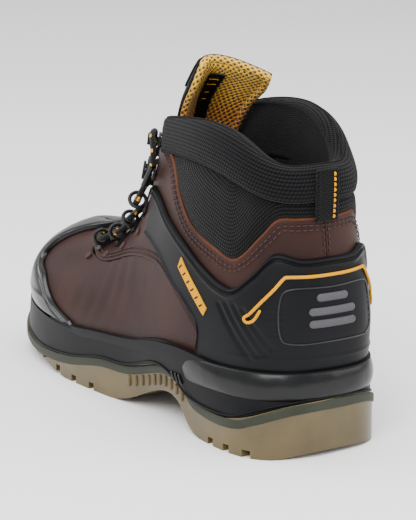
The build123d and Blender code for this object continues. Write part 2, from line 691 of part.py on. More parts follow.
def place_all(shape, rows):
    return [seat(side, i) * shape for side in (0, 1) for i in rows]


loops = place_all(loop(LOOP_R, 14, 8), (0, 1, 2))
node("lace_loops_lateral", loops[:3])
node("lace_loops_medial", loops[3:])
node("lock_loops", place_all(loop(LOCK_R, 17, 10), (3,)))
node("lace_hooks", place_all(hook(), (4, 5)))
RIVET_R = 2.4
RIVET_T = 0.9
RIVET_DROP = 0.115       # distance of each rivet below its eyelet, in t
rivets = []
for side in (0, 1):
    for i in range(4):
        k, t = EYELETS[i]
        n = last_normal(side, k, t - RIVET_DROP)
        place = Plane(origin=on_last(side, k, t - RIVET_DROP, LAYER_GAP * 2), z_dir=n)
        rivets.append(place * Cylinder(RIVET_R, RIVET_T, align=(Align.CENTER, Align.CENTER, Align.MIN)))
node("rivets", rivets)

# ---------------------------------------------------------------- lace
OVER_EDGE = 4.3          # height of the lace where it crosses the edge of the leather
EDGE_STEP = 3.6          # sideways step along the foot of the runs that arrive and leave
LOW_LIFT = [0.0, 1.2, 1.2, 9.6, 10.5]     # lift of the lower run at each crossing
CROSS_GAP = 2 * LACE_R + 0.5
OUT_OF_BOOT = Vector(0, -0.75, 0.66)


def ahead(side, i):
    """Direction along the foot from one eyelet row to the next one up."""
    y = seat(side, i).y_dir
    return y if side == 1 else y * -1


def eye(side, i):
    """Centre of the lace where it turns in eyelet i."""
    place = seat(side, i)
    return place.origin + place.z_dir * LIFTS[i]


def over_edge(side, i, step):
    k, t = EDGE_PLACES[i]
    return on_last(side, k, t, OVER_EDGE) + ahead(side, i) * (EDGE_STEP * step)


def crossing(i, upper):
    """Point over the tongue where two runs between rows i and i + 1 cross."""
    mid = (eye(0, i) + eye(1, i) + eye(0, i + 1) + eye(1, i + 1)) * 0.25
    return mid + OUT_OF_BOOT * (LOW_LIFT[i] + (CROSS_GAP if upper else 0))


def cord(points):
    """Round cord through a few points."""
    path = Edge.make_spline(points)
    return sweep(Plane(origin=path @ 0, z_dir=path % 0) * Circle(LACE_R), path=path).solid()


def bead(at):
    """Rounds the corner where two lengths of cord meet."""
    return (Pos(at.X, at.Y, at.Z) * Sphere(LACE_R * 1.12)).solid()


def run(side, i, upper):
    """One run of the lace from row i on one side, over the tongue, to the row above."""
    return cord([
        eye(side, i), over_edge(side, i, 1), crossing(i, upper),
        over_edge(1 - side, i + 1, -1), eye(1 - side, i + 1),
    ])


TAIL = [(6.45, 0.905, 6.2), (6.25, 0.86, 5.8), (6.27, 0.80, 5.2)]
AGLET_LENGTH = 16.0
AGLET_GAP = 0.3
pieces = []
for i in range(len(EYELETS) - 1):
    for side in (0, 1):
        pieces.append(run(side, i, (i + side) % 2 == 0))
low_middle = (eye(0, 0) + eye(1, 0)) * 0.5 + OUT_OF_BOOT * 1.5
pieces.append(cord([
    eye(0, 0), over_edge(0, 0, -1), low_middle, over_edge(1, 0, -1), eye(1, 0),
]))
aglets = []
for side in (0, 1):
    tail = [eye(side, len(EYELETS) - 1)] + [on_last(side, k, t, h) for k, t, h in TAIL]
    pieces.append(cord(tail))
    end = Edge.make_spline(tail)
    start = end @ 1 + (end % 1) * AGLET_GAP
    aglets.append(Plane(origin=start, z_dir=end % 1) * Cylinder(
        LACE_R * 0.8, AGLET_LENGTH, align=(Align.CENTER, Align.CENTER, Align.MIN)))
    for i in range(len(EYELETS)):
        pieces.append(bead(eye(side, i)))
node("lace", pieces[0].fuse(*pieces[1:]))
node("aglets", aglets)

# ---------------------------------------------------------------- pull tab
TAB_HALF = 0.33          # half width in stations
TAB_FOOT = 0.772         # t of the sewn lower end
TAB_HEAD = 0.975         # t of the sewn upper end
TAB_LOW = [(0, TAB_FOOT), (TAB_HALF / 2, TAB_FOOT), (TAB_HALF, TAB_FOOT)]
TAB_TOP = [(0, TAB_HEAD), (TAB_HALF / 2, TAB_HEAD), (TAB_HALF, TAB_HEAD)]
TAB_T = 1.4
STITCH_COUNT = 9
STITCH_LENGTH = 3.2
STITCH_WIDTH = 1.2
STITCH_RISE = 0.25       # clearance of each stitch above the tape


def tab_floor(u, v):
    """Follows the swell of the collar roll under the tab."""
    return 1.5 + 2.2 * math.sin(math.pi * min(1.0, v * 1.25) / 2)


def tab_top(u, v):
    return tab_floor(u, v) + TAB_T


node("pull_tab", heel_panel(TAB_LOW, TAB_TOP, tab_top, tab_floor))
stitches = []
for i in range(STITCH_COUNT):
    v = 0.06 + 0.86 * (i + 0.5) / STITCH_COUNT
    k = TAB_HALF * 0.55
    t = TAB_FOOT + (TAB_HEAD - TAB_FOOT) * v
    along_tab = (on_last(1, k, t + 0.02) - on_last(1, k, t - 0.02)).normalized()
    lift = tab_top(0, v) + STITCH_RISE
    at = Plane(origin=on_last(1, k, t, lift), x_dir=along_tab, z_dir=last_normal(1, k, t))
    stitches.append(at * Box(STITCH_LENGTH, STITCH_WIDTH, 0.7, align=(Align.CENTER, Align.CENTER, Align.MIN)))
node("pull_tab_stitching", stitches)
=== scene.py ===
import math
import random
import bmesh
import bpy
import numpy as np
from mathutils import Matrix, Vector
from mathutils.kdtree import KDTree


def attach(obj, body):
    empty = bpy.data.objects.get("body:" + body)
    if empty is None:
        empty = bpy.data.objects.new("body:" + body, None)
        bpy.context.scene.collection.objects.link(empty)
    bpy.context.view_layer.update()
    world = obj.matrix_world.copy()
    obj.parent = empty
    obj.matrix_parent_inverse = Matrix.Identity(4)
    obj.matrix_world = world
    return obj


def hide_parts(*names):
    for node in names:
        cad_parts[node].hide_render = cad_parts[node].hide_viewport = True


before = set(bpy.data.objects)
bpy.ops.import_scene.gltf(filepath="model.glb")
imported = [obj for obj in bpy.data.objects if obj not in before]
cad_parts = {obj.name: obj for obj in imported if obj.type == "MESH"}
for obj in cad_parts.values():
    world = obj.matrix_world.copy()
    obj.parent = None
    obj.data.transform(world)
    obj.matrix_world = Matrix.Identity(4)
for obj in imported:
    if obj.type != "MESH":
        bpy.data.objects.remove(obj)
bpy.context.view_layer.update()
random.seed(7)
MM = 0.001

# ---- the last (mm, then graded)
GRADE = 1.03
SHIFT = (-0.14, 10.55, 0.0)
LATERAL_FEATHER = [
    (-2, 130, 46), (20, 127, 46), (36, 110, 46), (43, 88, 45), (48, 62, 44),
    (50, 36, 44), (51, 12, 40), (52, -10, 38), (53, -30, 36), (54, -50, 33),
    (54, -72, 33), (52, -96, 34), (47, -118, 36), (30, -140, 39), (-4, -149, 41),
]
LATERAL_LOW = [
    (-1, 139, 75), (24, 135, 75), (42, 117, 74), (49, 92, 73), (52, 66, 70),
    (52, 42, 66), (51, 18, 62), (51, -4, 60), (53, -26, 58), (56, -50, 55),
    (58, -72, 56), (58, -98, 60), (52, -122, 64), (33, -148, 68), (-5, -158, 70),
]
LATERAL_HIGH = [
    (0, 127, 115), (20, 122, 115), (33, 106, 115), (38, 80, 116), (40, 54, 118),
    (35, 30, 119), (28, 6, 116), (24, -12, 110), (23, -24, 99), (23, -38, 90),
    (24, -54, 83), (26, -74, 79), (27, -98, 76), (19, -116, 76), (-4, -128, 78),
]
LATERAL_RIM = [
    (0, 127, 161), (19, 122, 158), (30, 108, 164), (35, 88, 177), (36, 62, 180),
    (33, 36, 177), (28, 10, 174), (21, -10, 169), (-4, -25, 154), (-4, -24, 126),
    (-5, -30, 105), (-6, -52, 88), (-6, -80, 79), (-6, -104, 75.5), (-6, -116, 75),
]
MEDIAL_FEATHER = [
    (-22, 130, 46), (-36, 116, 46), (-39, 92, 45), (-38, 62, 44), (-36, 36, 42),
    (-38, 12, 40), (-42, -12, 38), (-48, -34, 36), (-52, -56, 34), (-54, -78, 34),
    (-52, -100, 35), (-46, -122, 37), (-30, -142, 40),
]
MEDIAL_LOW = [
    (-26, 138, 75), (-41, 122, 74), (-46, 94, 73), (-45, 62, 71), (-43, 36, 69),
    (-44, 12, 65), (-47, -10, 62), (-51, -32, 59), (-56, -55, 57), (-59, -78, 58),
    (-58, -102, 62), (-51, -126, 66), (-34, -150, 69),
]
MEDIAL_HIGH = [
    (-20, 122, 115), (-32, 108, 115), (-37, 80, 116), (-39, 54, 118), (-35, 30, 119),
    (-28, 6, 116), (-24, -12, 110), (-23, -24, 99), (-23, -38, 90), (-24, -54, 83),
    (-26, -74, 79), (-27, -98, 76), (-20, -116, 76),
]
MEDIAL_RIM = [
    (-19, 122, 158), (-30, 108, 162), (-36, 88, 178), (-38, 62, 184), (-35, 36, 183),
    (-29, 10, 178), (-21, -10, 171), (4, -25, 154), (4, -24, 126), (3, -30, 105),
    (2, -52, 88), (2, -80, 79), (2, -104, 75.5),
]


MEDIAL_RIDGE_END = (2, -116, 75)
TOE = 14                # station of the toe tip
ROUND = 2 * TOE         # stations all the way round the boot


def extended(lat, med, ridge):
    """Rows of one handle for both sides, each carried a little way past the heel and the toe."""
    a = [med[1], med[0]] + lat + [med[-1], med[-2]]
    b = [lat[2], lat[1], lat[0]] + med + [lat[-1], lat[-2], lat[-3]]
    if ridge:
        a[-2:] = [lat[-1], lat[-1]]
        b[-3:] = [MEDIAL_RIDGE_END] * 3
    return np.array(a, float), np.array(b, float)


ROWS = [
    extended(LATERAL_FEATHER, MEDIAL_FEATHER, False),
    extended(LATERAL_LOW, MEDIAL_LOW, False),
    extended(LATERAL_HIGH, MEDIAL_HIGH, False),
    extended(LATERAL_RIM, MEDIAL_RIM, True),
]


def along_row(row, k):
    """Cubic B-spline along a row of handles."""
    i = np.clip(np.floor(k).astype(int), -1, TOE)
    f = k - i
    w = (
        (1 - f) ** 3 / 6, (3 * f ** 3 - 6 * f ** 2 + 4) / 6,
        (-3 * f ** 3 + 3 * f ** 2 + 3 * f + 1) / 6, f ** 3 / 6,
    )
    return sum(w[j][..., None] * row[np.clip(i + j + 1, 0, len(row) - 1)] for j in range(4))


def unit(v):
    return v / np.maximum(np.linalg.norm(v, axis=-1, keepdims=True), 1e-12)


def base(s, t):
    """Leather face at station s (0 heel, 0..TOE lateral, below 0 or above TOE medial), height t."""
    s, t = np.broadcast_arrays(np.asarray(s, float), np.asarray(t, float))
    medial = (s < 0) | (s > TOE)
    k = np.where(s < 0, -s, np.where(s > TOE, ROUND - s, s))
    a = (1 - t)[..., None]
    u = t[..., None]
    out = []
    for side in (0, 1):
        b, lo, hi, r = [along_row(pair[side], k) for pair in ROWS]
        out.append(a ** 3 * b + 3 * a * a * u * lo + 3 * a * u * u * hi + u ** 3 * r)
    p = np.where(medial[..., None], out[1], out[0])
    return (p * GRADE + np.array(SHIFT)) * MM


def normal(s, t):
    """Outward unit normal of the leather face."""
    e = 0.01
    tc = np.clip(t, e, 1 - e)
    return unit(np.cross(base(s, tc + e) - base(s, tc - e), base(s + e, tc) - base(s - e, tc)))


def lift(s, t, h):
    """Point h mm outside the leather face."""
    s, t = np.broadcast_arrays(np.asarray(s, float), np.asarray(t, float))
    return base(s, t) + normal(s, t) * (np.asarray(h, float) * np.ones(s.shape))[..., None] * MM


def through(points, u):
    """Catmull-Rom through rows of numbers."""
    p = np.array(points, float)
    n = len(p) - 1
    x = np.clip(np.asarray(u, float), 0, 1) * n
    i = np.minimum(x.astype(int), n - 1)
    f = (x - i)[..., None]
    p = np.vstack([2 * p[0] - p[1], p, 2 * p[-1] - p[-2]])
    a, b, c, d = p[i], p[i + 1], p[i + 2], p[i + 3]
    bend = (2 * a - 5 * b + 4 * c - d) * f * f
    return 0.5 * (2 * b + (c - a) * f + bend + (3 * b - a - 3 * c + d) * f ** 3)


def spread(n):
    """n places from 0 to 1, closer together near both ends."""
    x = np.linspace(0, 1, n)
    return 0.45 * x + 0.55 * (0.5 - 0.5 * np.cos(math.pi * x))


def bump(x, centre, width):
    """Bell curve of height 1."""
    return np.exp(-((x - centre) / width) ** 2)


def ripple(p, scale, seed=0.0):
    """Smooth irregular waves over points in metres, about -1 to 1."""
    x, y, z = [p[..., i] * scale + seed * (i + 1.7) for i in range(3)]
    return (np.sin(x * 1.3 + 2 * np.sin(z * 0.7)) * np.cos(y * 1.1 + 1.7 * np.sin(x * 0.9))
            + 0.5 * np.sin(z * 2.1 + y * 1.6) * np.cos(x * 2.3)) / 1.5


# ---- meshes
def face_outward(o):
    """Turns every face of a closed mesh outward."""
    bm = bmesh.new()
    bm.from_mesh(o.data)
    bmesh.ops.recalc_face_normals(bm, faces=bm.faces)
    bm.to_mesh(o.data)
    bm.free()
    return o


def make(name, verts, faces, uvs=None, mats=(), face_mat=None):
    """Smooth mesh object from points, faces and one UV per point."""
    me = bpy.data.meshes.new(name)
    me.from_pydata([tuple(v) for v in verts], [], faces)
    if uvs is not None:
        layer = me.uv_layers.new(name="UVMap")
        idx = np.empty(len(me.loops), int)
        me.loops.foreach_get("vertex_index", idx)
        layer.data.foreach_set("uv", np.asarray(uvs)[idx].ravel())
    for m in mats:
        me.materials.append(m)
    if face_mat is not None:
        me.polygons.foreach_set("material_index", face_mat)
    me.polygons.foreach_set("use_smooth", [True] * len(me.polygons))
    me.update()
    o = bpy.data.objects.new(name, me)
    bpy.context.scene.collection.objects.link(o)
    return o


def along(p, axis):
    """Length so far along one direction of a grid of points."""
    first = np.zeros_like(p[:1, :, 0]) if axis == 0 else np.zeros_like(p[:, :1, 0])
    return np.concatenate([first, np.cumsum(np.linalg.norm(np.diff(p, axis=axis), axis=-1), axis)], axis)


def grid_shell(name, outer, inner, mats, loop=False):
    """Closed shell between two grids of points (rows x columns)."""
    n, m = outer.shape[:2]
    verts = np.vstack([outer.reshape(-1, 3), inner.reshape(-1, 3)])
    off = n * m
    rows = n if loop else n - 1
    i, j = np.meshgrid(np.arange(rows), np.arange(m - 1), indexing="ij")
    a = i * m + j
    b = ((i + 1) % n) * m + j
    top = np.stack([a, a + 1, b + 1, b], -1).reshape(-1, 4)
    faces = [tuple(f) for f in top] + [tuple(f[::-1] + off) for f in top]
    for i in range(rows):
        k = ((i + 1) % n) * m
        far, near = k + m - 1, i * m + m - 1
        faces.append((i * m, k, k + off, i * m + off))
        faces.append((far, near, near + off, far + off))
    if not loop:
        for j in range(m - 1):
            last = (n - 1) * m + j
            faces.append((j + 1, j, j + off, j + 1 + off))
            faces.append((last, last + 1, last + 1 + off, last + off))
    u = np.broadcast_to(along(outer, 0)[:, m // 2][:, None], (n, m))
    flat = np.stack([u, along(outer, 1)], -1).reshape(-1, 2)
    o = make(name, verts, faces, np.vstack([flat, flat]), mats)
    return face_outward(o)


def border(p, ends=(1, 1, 1, 1)):
    """Distance in mm of each grid point from the nearest of its ends, the low and the high edge."""
    du = along(p, 0) / MM
    dv = along(p, 1) / MM
    sides = (du, du[-1:] - du, dv, dv[:, -1:] - dv)
    near = np.full(du.shape, 1e3)
    for side, counts in zip(sides, ends):
        if counts:
            near = np.minimum(near, side)
    return near, dv, dv[:, -1:] - dv


CUT_X = -0.0022         # centre plane of the toe, where the two sides meet


def at_ridge(s, p):
    """Both sides of a piece wrapped round the toe stop on the centre plane."""
    front = (np.abs(s) > 9) & (s < ROUND - 9)
    p = p.copy()
    lateral = front & (s <= TOE) & (p[..., 0] < CUT_X)
    medial = front & (s > TOE) & (p[..., 0] > CUT_X)
    p[..., 0] = np.where(lateral | medial, CUT_X, p[..., 0])
    return p


def panel(name, low, high, top, under, mats, nu=90, nv=26, edge=1.2, blunt=0.35, ends=(1, 1, 1, 1)):
    """Rounded-edge shell on the last between two (s, t) edges. top and under are heights in mm."""
    u = spread(nu)
    v = spread(nv)
    a = through(low, u)[:, None, :]
    b = through(high, u)[:, None, :]
    st = a + (b - a) * v[None, :, None]
    s, t = st[..., 0], st[..., 1]
    p = base(s, t)
    d, from_low, from_high = border(p, ends)
    grid = dict(s=s, t=t, d=d, lo=from_low, hi=from_high, p=p)
    h1 = top(grid) if callable(top) else top + 0 * s
    h0 = under(grid) if callable(under) else under + 0 * s
    r = np.clip(d / edge, 0, 1)
    h = h0 + (h1 - h0) * (blunt + (1 - blunt) * np.sqrt(1 - (1 - r) ** 2))
    return grid_shell(name, at_ridge(s, lift(s, t, h)), at_ridge(s, lift(s, t, h0)), mats)


def tube(name, pts, r, mats, sides=10, squeeze=1.0, closed=False, taper=True, up=None, wrap=1.0):
    """Round or flattened cord along points in metres, r in mm (a number or one per point)."""
    p = np.asarray(pts, float)
    n = len(p)
    tan = np.gradient(p, axis=0)
    if closed:
        tan = np.roll(p, -1, 0) - np.roll(p, 1, 0)
    tan = unit(tan)
    side = np.cross(tan[0], (0, 0, 1) if abs(tan[0][2]) < 0.9 else (1, 0, 0))
    rad = (np.asarray(r, float) * np.ones(n)) * MM
    if taper and not closed:
        rad = rad.copy()
        rad[0] *= 0.45
        rad[-1] *= 0.45
    rings = []
    uvs = []
    length = 0.0
    for i in range(n):
        if up is not None:
            side = np.cross(tan[i], up[i])
        side = unit(side - tan[i] * side.dot(tan[i]))
        other = np.cross(tan[i], side)
        if i:
            length += np.linalg.norm(p[i] - p[i - 1])
        for q in range(sides):
            a = 2 * math.pi * q / sides
            rings.append(p[i] + (side * math.cos(a) + other * math.sin(a) * squeeze) * rad[i])
            uvs.append((length, wrap * q / sides))
    faces = []
    for i in range(n if closed else n - 1):
        for q in range(sides):
            a = i * sides
            b = ((i + 1) % n) * sides
            faces.append((a + q, a + (q + 1) % sides, b + (q + 1) % sides, b + q))
    if not closed:
        faces.append(tuple(range(sides))[::-1])
        faces.append(tuple((n - 1) * sides + q for q in range(sides)))
    o = make(name, rings, faces, uvs, mats)
    return face_outward(o)


def line(name, path, h, r, mats, n=120, squeeze=1.0, sides=8, taper=True):
    """Bead or piping lying on the upper along an (s, t) path."""
    s, t = through(path, np.linspace(0, 1, n)).T
    return tube(name, lift(s, t, h), r, mats, sides, squeeze, taper=taper, up=normal(s, t))


def select(objs):
    bpy.ops.object.select_all(action="DESELECT")
    for o in objs:
        o.select_set(True)
    bpy.context.view_layer.objects.active = objs[0]


def join(name, objs):
    """One object out of several, keeping materials and UVs."""
    select(objs)
    bpy.ops.object.join()
    objs[0].name = name
    return objs[0]


def stitch_mesh(name, rows, mats, length=2.5, gap=1.1, r=0.42):
    """Thread stitches along rows of (points, normals) in metres, half sunk in the surface."""
    verts = []
    faces = []
    prof = [(-1.0, -0.9, 0.35), (-0.72, 0.15, 0.85), (0.0, 0.45, 1.0), (0.72, 0.15, 0.85), (1.0, -0.9, 0.35)]
    sides = 6
    for pts, nrm in rows:
        d = np.concatenate([[0], np.cumsum(np.linalg.norm(np.diff(pts, axis=0), axis=1))]) / MM
        count = int(d[-1] // (length + gap))
        for q in range(count):
            mid = (q + 0.5) * (length + gap) + random.uniform(-0.08, 0.08)
            c, a, up = [np.array([np.interp(x, d, column) for column in source.T])
                        for x, source in ((mid, pts), (mid + 0.5, pts), (mid, nrm))]
            up = unit(up)
            ax = unit(a - c)
            sd = np.cross(ax, up)
            start = len(verts)
            for x, z, w in prof:
                for g in range(sides):
                    an = math.pi * 2 * g / sides
                    verts.append(c + ax * (x * length / 2 * MM) + up * ((z * r + 0.25 * r) * MM)
                                 + (sd * math.cos(an) + up * math.sin(an)) * (r * w * MM))
            last = start + (len(prof) - 1) * sides
            for row in range(start, last, sides):
                for g in range(sides):
                    p0 = row + g
                    p1 = row + (g + 1) % sides
                    faces.append((p0, p1, p1 + sides, p0 + sides))
            faces.append(tuple(range(start, start + sides))[::-1])
            faces.append(tuple(range(last, last + sides)))
    o = make(name, verts, faces, None, mats)
    return face_outward(o)


def seam(path, h, shift=0.0, n=200):
    """Row of stitching points along an (s, t) path, shifted sideways in mm."""
    st = through(path, np.linspace(0, 1, n))
    s, t = st[:, 0], st[:, 1]
    e = 0.01
    hops = 4
    for _ in range(hops if shift else 0):
        p = base(s, t)
        side = unit(np.cross(np.gradient(p, axis=0), normal(s, t))) * (shift / hops * MM)
        ps = (base(s + e, t) - p) / e
        pt = (base(s, t + e) - p) / e
        a, b, c = (ps * ps).sum(1), (ps * pt).sum(1), (pt * pt).sum(1)
        x, y = (ps * side).sum(1), (pt * side).sum(1)
        det = a * c - b * b
        s = s + (c * x - b * y) / det
        t = t + (a * y - b * x) / det
    return lift(s, t, h), normal(s, t)


def tree_of(points):
    tree = KDTree(len(points))
    for i, p in enumerate(points):
        tree.insert(Vector(p), i)
    tree.balance()
    return tree


def puff(obj, fixed, cap):
    """Lets cloth under pressure shape a padded piece, then carries the shape to the fine mesh.

    Points near the fixed ones are held, and no point moves further than cap mm.
    """
    work = bpy.data.objects.new(obj.name + "_work", obj.data.copy())
    bpy.context.scene.collection.objects.link(work)
    select([work])
    rm = work.modifiers.new("remesh", "REMESH")
    rm.mode = "VOXEL"
    rm.voxel_size = 0.005
    bpy.ops.object.modifier_apply(modifier="remesh")
    rest = np.array([v.co[:] for v in work.data.vertices])
    held = tree_of(fixed)
    group = work.vertex_groups.new(name="held")
    for v in work.data.vertices:
        dist = held.find(v.co)[2] / MM
        weight = min(max((9.0 - dist) / 4.0, 0), 1)
        if weight > 0:
            group.add([v.index], weight, "REPLACE")
    cl = work.modifiers.new("cloth", "CLOTH")
    st = cl.settings
    st.quality = 6
    st.mass = 0.15
    st.tension_stiffness = 25
    st.compression_stiffness = 25
    st.shear_stiffness = 10
    st.bending_stiffness = 2
    st.use_pressure = True
    st.uniform_pressure_force = 4.0
    st.vertex_group_mass = "held"
    st.effector_weights.gravity = 0
    cl.collision_settings.use_collision = False
    for f in range(1, 21):
        bpy.context.scene.frame_set(f)
    shaped = work.evaluated_get(bpy.context.evaluated_depsgraph_get())
    now = np.array([v.co[:] for v in shaped.data.vertices])
    bpy.context.scene.frame_set(1)
    move = now - rest
    size = np.linalg.norm(move, axis=1, keepdims=True)
    move *= np.minimum(1, cap * MM / np.maximum(size, 1e-9))
    tree = tree_of(rest)
    for v in obj.data.vertices:
        total = 0.0
        shift = np.zeros(3)
        for co, idx, dist in tree.find_n(v.co, 5):
            w = 1 / (dist + 0.0008)
            shift += move[idx] * w
            total += w
        v.co = v.co + Vector(shift / total)
    bpy.data.objects.remove(work)


def finish_piece(obj, nodes=(), body="boot"):
    """Hides the CAD nodes that a piece stands for and attaches the piece to the body that carries it."""
    if nodes:
        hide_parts(*nodes)
    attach(obj, body)
    return obj


# ---- materials
def node_mat(name):
    m = bpy.data.materials.new(name)
    m.use_nodes = True
    nt = m.node_tree
    return m, nt, nt.nodes["Principled BSDF"]


def add(nt, kind, **values):
    n = nt.nodes.new(kind)
    for key, value in values.items():
        if key in n.inputs:
            n.inputs[key].default_value = value
        else:
            setattr(n, key, value)
    return n


def ramp(nt, fac, stops):
    n = nt.nodes.new("ShaderNodeValToRGB")
    n.color_ramp.elements[0].position = stops[0][0]
    n.color_ramp.elements[0].color = stops[0][1] + (1,)
    n.color_ramp.elements[1].position = stops[-1][0]
    n.color_ramp.elements[1].color = stops[-1][1] + (1,)
    for pos, col in stops[1:-1]:
        e = n.color_ramp.elements.new(pos)
        e.color = col + (1,)
    nt.links.new(fac, n.inputs["Fac"])
    return n.outputs["Color"]


def bumped(nt, bsdf, height, strength, distance, before=None):
    b = add(nt, "ShaderNodeBump", Strength=strength, Distance=distance)
    nt.links.new(height, b.inputs["Height"])
    if before is not None:
        nt.links.new(before, b.inputs["Normal"])
    nt.links.new(b.outputs["Normal"], bsdf.inputs["Normal"])
    return b.outputs["Normal"]


def noise_of(nt, coord, scale, detail=4.0, rough=0.55):
    n = add(nt, "ShaderNodeTexNoise", Scale=scale, Detail=detail, Roughness=rough)
    nt.links.new(coord, n.inputs["Vector"])
    return n.outputs["Fac"]


def value_of(nt, op, a, b=None):
    """Math node; each input is a number or another node's output."""
    n = nt.nodes.new("ShaderNodeMath")
    n.operation = op
    for i, x in enumerate((a, b)):
        if isinstance(x, (int, float)):
            n.inputs[i].default_value = x
        elif x is not None:
            nt.links.new(x, n.inputs[i])
    return n.outputs[0]


def times(nt, a, b):
    return value_of(nt, "MULTIPLY", a, b)


def size_of_sine(nt, x):
    return value_of(nt, "ABSOLUTE", value_of(nt, "SINE", x))


def weave(nt, x, y):
    """Product of two crossing sets of waves."""
    a = size_of_sine(nt, value_of(nt, "ADD", x, y))
    return times(nt, a, size_of_sine(nt, value_of(nt, "SUBTRACT", x, y)))


def axes_of(nt, kind):
    """A texture coordinate and its separate axes."""
    co = add(nt, "ShaderNodeTexCoord").outputs[kind]
    sep = nt.nodes.new("ShaderNodeSeparateXYZ")
    nt.links.new(co, sep.inputs[0])
    return co, sep.outputs["X"], sep.outputs["Y"], sep.outputs["Z"]


def mixed(nt, fac, low, high):
    """Colour low where fac is 0 and high where it is 1."""
    n = nt.nodes.new("ShaderNodeMix")
    n.data_type = "RGBA"
    nt.links.new(fac, n.inputs["Factor"])
    nt.links.new(low, n.inputs["A"])
    n.inputs["B"].default_value = high + (1,)
    return n.outputs["Result"]


def surface(b, **values):
    """Sets inputs of the shader, named with underscores for spaces."""
    for key, value in values.items():
        b.inputs[key.replace("_", " ")].default_value = value


def leather_mat():
    """Oiled brown leather: cloudy tone, pebbled grain and fine pores."""
    m, nt, b = node_mat("leather")
    co = add(nt, "ShaderNodeTexCoord").outputs["Object"]
    big = noise_of(nt, co, 22, 5)
    fine = noise_of(nt, co, 900, 3, 0.6)
    browns = [
        (0.3, (0.017, 0.0065, 0.0052)), (0.52, (0.028, 0.0108, 0.0083)), (0.75, (0.044, 0.0175, 0.0125)),
    ]
    nt.links.new(ramp(nt, big, browns), b.inputs["Base Color"])
    nt.links.new(value_of(nt, "ADD", times(nt, big, 0.22), 0.36), b.inputs["Roughness"])
    surface(b, Specular_IOR_Level=0.16)
    vor = add(nt, "ShaderNodeTexVoronoi", Scale=1150.0)
    nt.links.new(co, vor.inputs["Vector"])
    n1 = bumped(nt, b, vor.outputs["Distance"], 0.16, 0.0003)
    n2 = bumped(nt, b, fine, 0.10, 0.0004, n1)
    bumped(nt, b, noise_of(nt, co, 70, 4), 0.22, 0.0012, n2)
    return m


def plain_mat(name, color, rough, grain=500.0, strength=0.08, spec=0.5, vary=0.25, coat=0.0, metal=0.0):
    """Moulded or coated surface with a little grain and cloudiness."""
    m, nt, b = node_mat(name)
    co = add(nt, "ShaderNodeTexCoord").outputs["Object"]
    n = noise_of(nt, co, 45, 5)
    dark = tuple(c * (1 - vary) for c in color)
    light = tuple(min(1, c * (1 + vary)) for c in color)
    nt.links.new(ramp(nt, n, [(0.3, dark), (0.7, light)]), b.inputs["Base Color"])
    nt.links.new(value_of(nt, "ADD", times(nt, n, 0.2), rough - 0.1), b.inputs["Roughness"])
    surface(b, Specular_IOR_Level=spec, Coat_Weight=coat, Coat_Roughness=0.12, Metallic=metal)
    bumped(nt, b, noise_of(nt, co, grain, 3), strength, 0.0004)
    return m


def rib_mat(name, dark, light, rib=0.0021, step=0.0016):
    """Ribbed knit: rows of slanted stitches along the piece, the grooves between them painted darker as
    shade.
    """
    m, nt, b = node_mat(name)
    _, x, y, _ = axes_of(nt, "UV")
    row = times(nt, y, math.pi / rib)
    ridge = size_of_sine(nt, row)
    slant = value_of(nt, "ADD", times(nt, x, 2 * math.pi / step), times(nt, row, 0.9))
    tooth = value_of(nt, "ADD", times(nt, value_of(nt, "SINE", slant), 0.5), 0.5)
    h = times(nt, ridge, value_of(nt, "ADD", times(nt, tooth, 0.55), 0.45))
    # painted shade: colour follows the rib height, dark in the grooves and the yarn's own colour on the
    # ridges
    nt.links.new(ramp(nt, h, [(0.1, dark), (0.85, light)]), b.inputs["Base Color"])
    surface(b, Roughness=0.85, Sheen_Weight=0.05, Specular_IOR_Level=0.06)
    n1 = bumped(nt, b, h, 0.85, 0.0008)
    co = add(nt, "ShaderNodeTexCoord").outputs["Object"]
    bumped(nt, b, noise_of(nt, co, 1500, 2), 0.15, 0.0003, n1)
    return m


def mesh_mat():
    """Open spacer mesh, yellow near the top and painted darker orange-brown lower down as shade inside the
    boot, with holes in staggered rows painted dark as the shade in them.
    """
    m, nt, b = node_mat("mesh_lining")
    _, x, y, _ = axes_of(nt, "UV")
    pitch = 0.0043
    hole = weave(nt, times(nt, x, math.pi / pitch), times(nt, y, math.pi / (pitch * 0.8)))
    co, _, _, z = axes_of(nt, "Object")
    # painted shade: the lining turns from yellow to darker orange-brown further down inside the boot
    high = times(nt, value_of(nt, "SUBTRACT", z, 0.168), 30)
    lining_with_painted_shade = ramp(nt, high, [(0.0, (0.50, 0.18, 0.008)), (0.8, (0.80, 0.45, 0.008))])
    # painted shade: the holes of the mesh are coloured dark brown as the shade inside them
    painted_hole_shade = ramp(nt, hole, [(0.5, (0, 0, 0)), (0.78, (1, 1, 1))])
    nt.links.new(mixed(nt, painted_hole_shade, lining_with_painted_shade, (0.05, 0.014, 0.003)), b.inputs["Base Color"])
    surface(b, Roughness=0.6, Sheen_Weight=0.15)
    n1 = bumped(nt, b, value_of(nt, "SUBTRACT", 1.0, hole), 1.0, 0.0011)
    bumped(nt, b, noise_of(nt, co, 1800, 2), 0.15, 0.0003, n1)
    return m


def amber_mat():
    """Cloudy olive-amber rubber that lets some light in."""
    m, nt, b = node_mat("outsole")
    co = add(nt, "ShaderNodeTexCoord").outputs["Object"]
    n = noise_of(nt, co, 30, 4)
    col = ramp(nt, n, [(0.3, (0.062, 0.042, 0.011)), (0.7, (0.112, 0.079, 0.024))])
    nt.links.new(col, b.inputs["Base Color"])
    surface(b, Roughness=0.30, Subsurface_Weight=0.30, Subsurface_Radius=(0.006, 0.004, 0.0015),
            Subsurface_Scale=1.0)
    bumped(nt, b, noise_of(nt, co, 260, 3), 0.06, 0.0006)
    return m


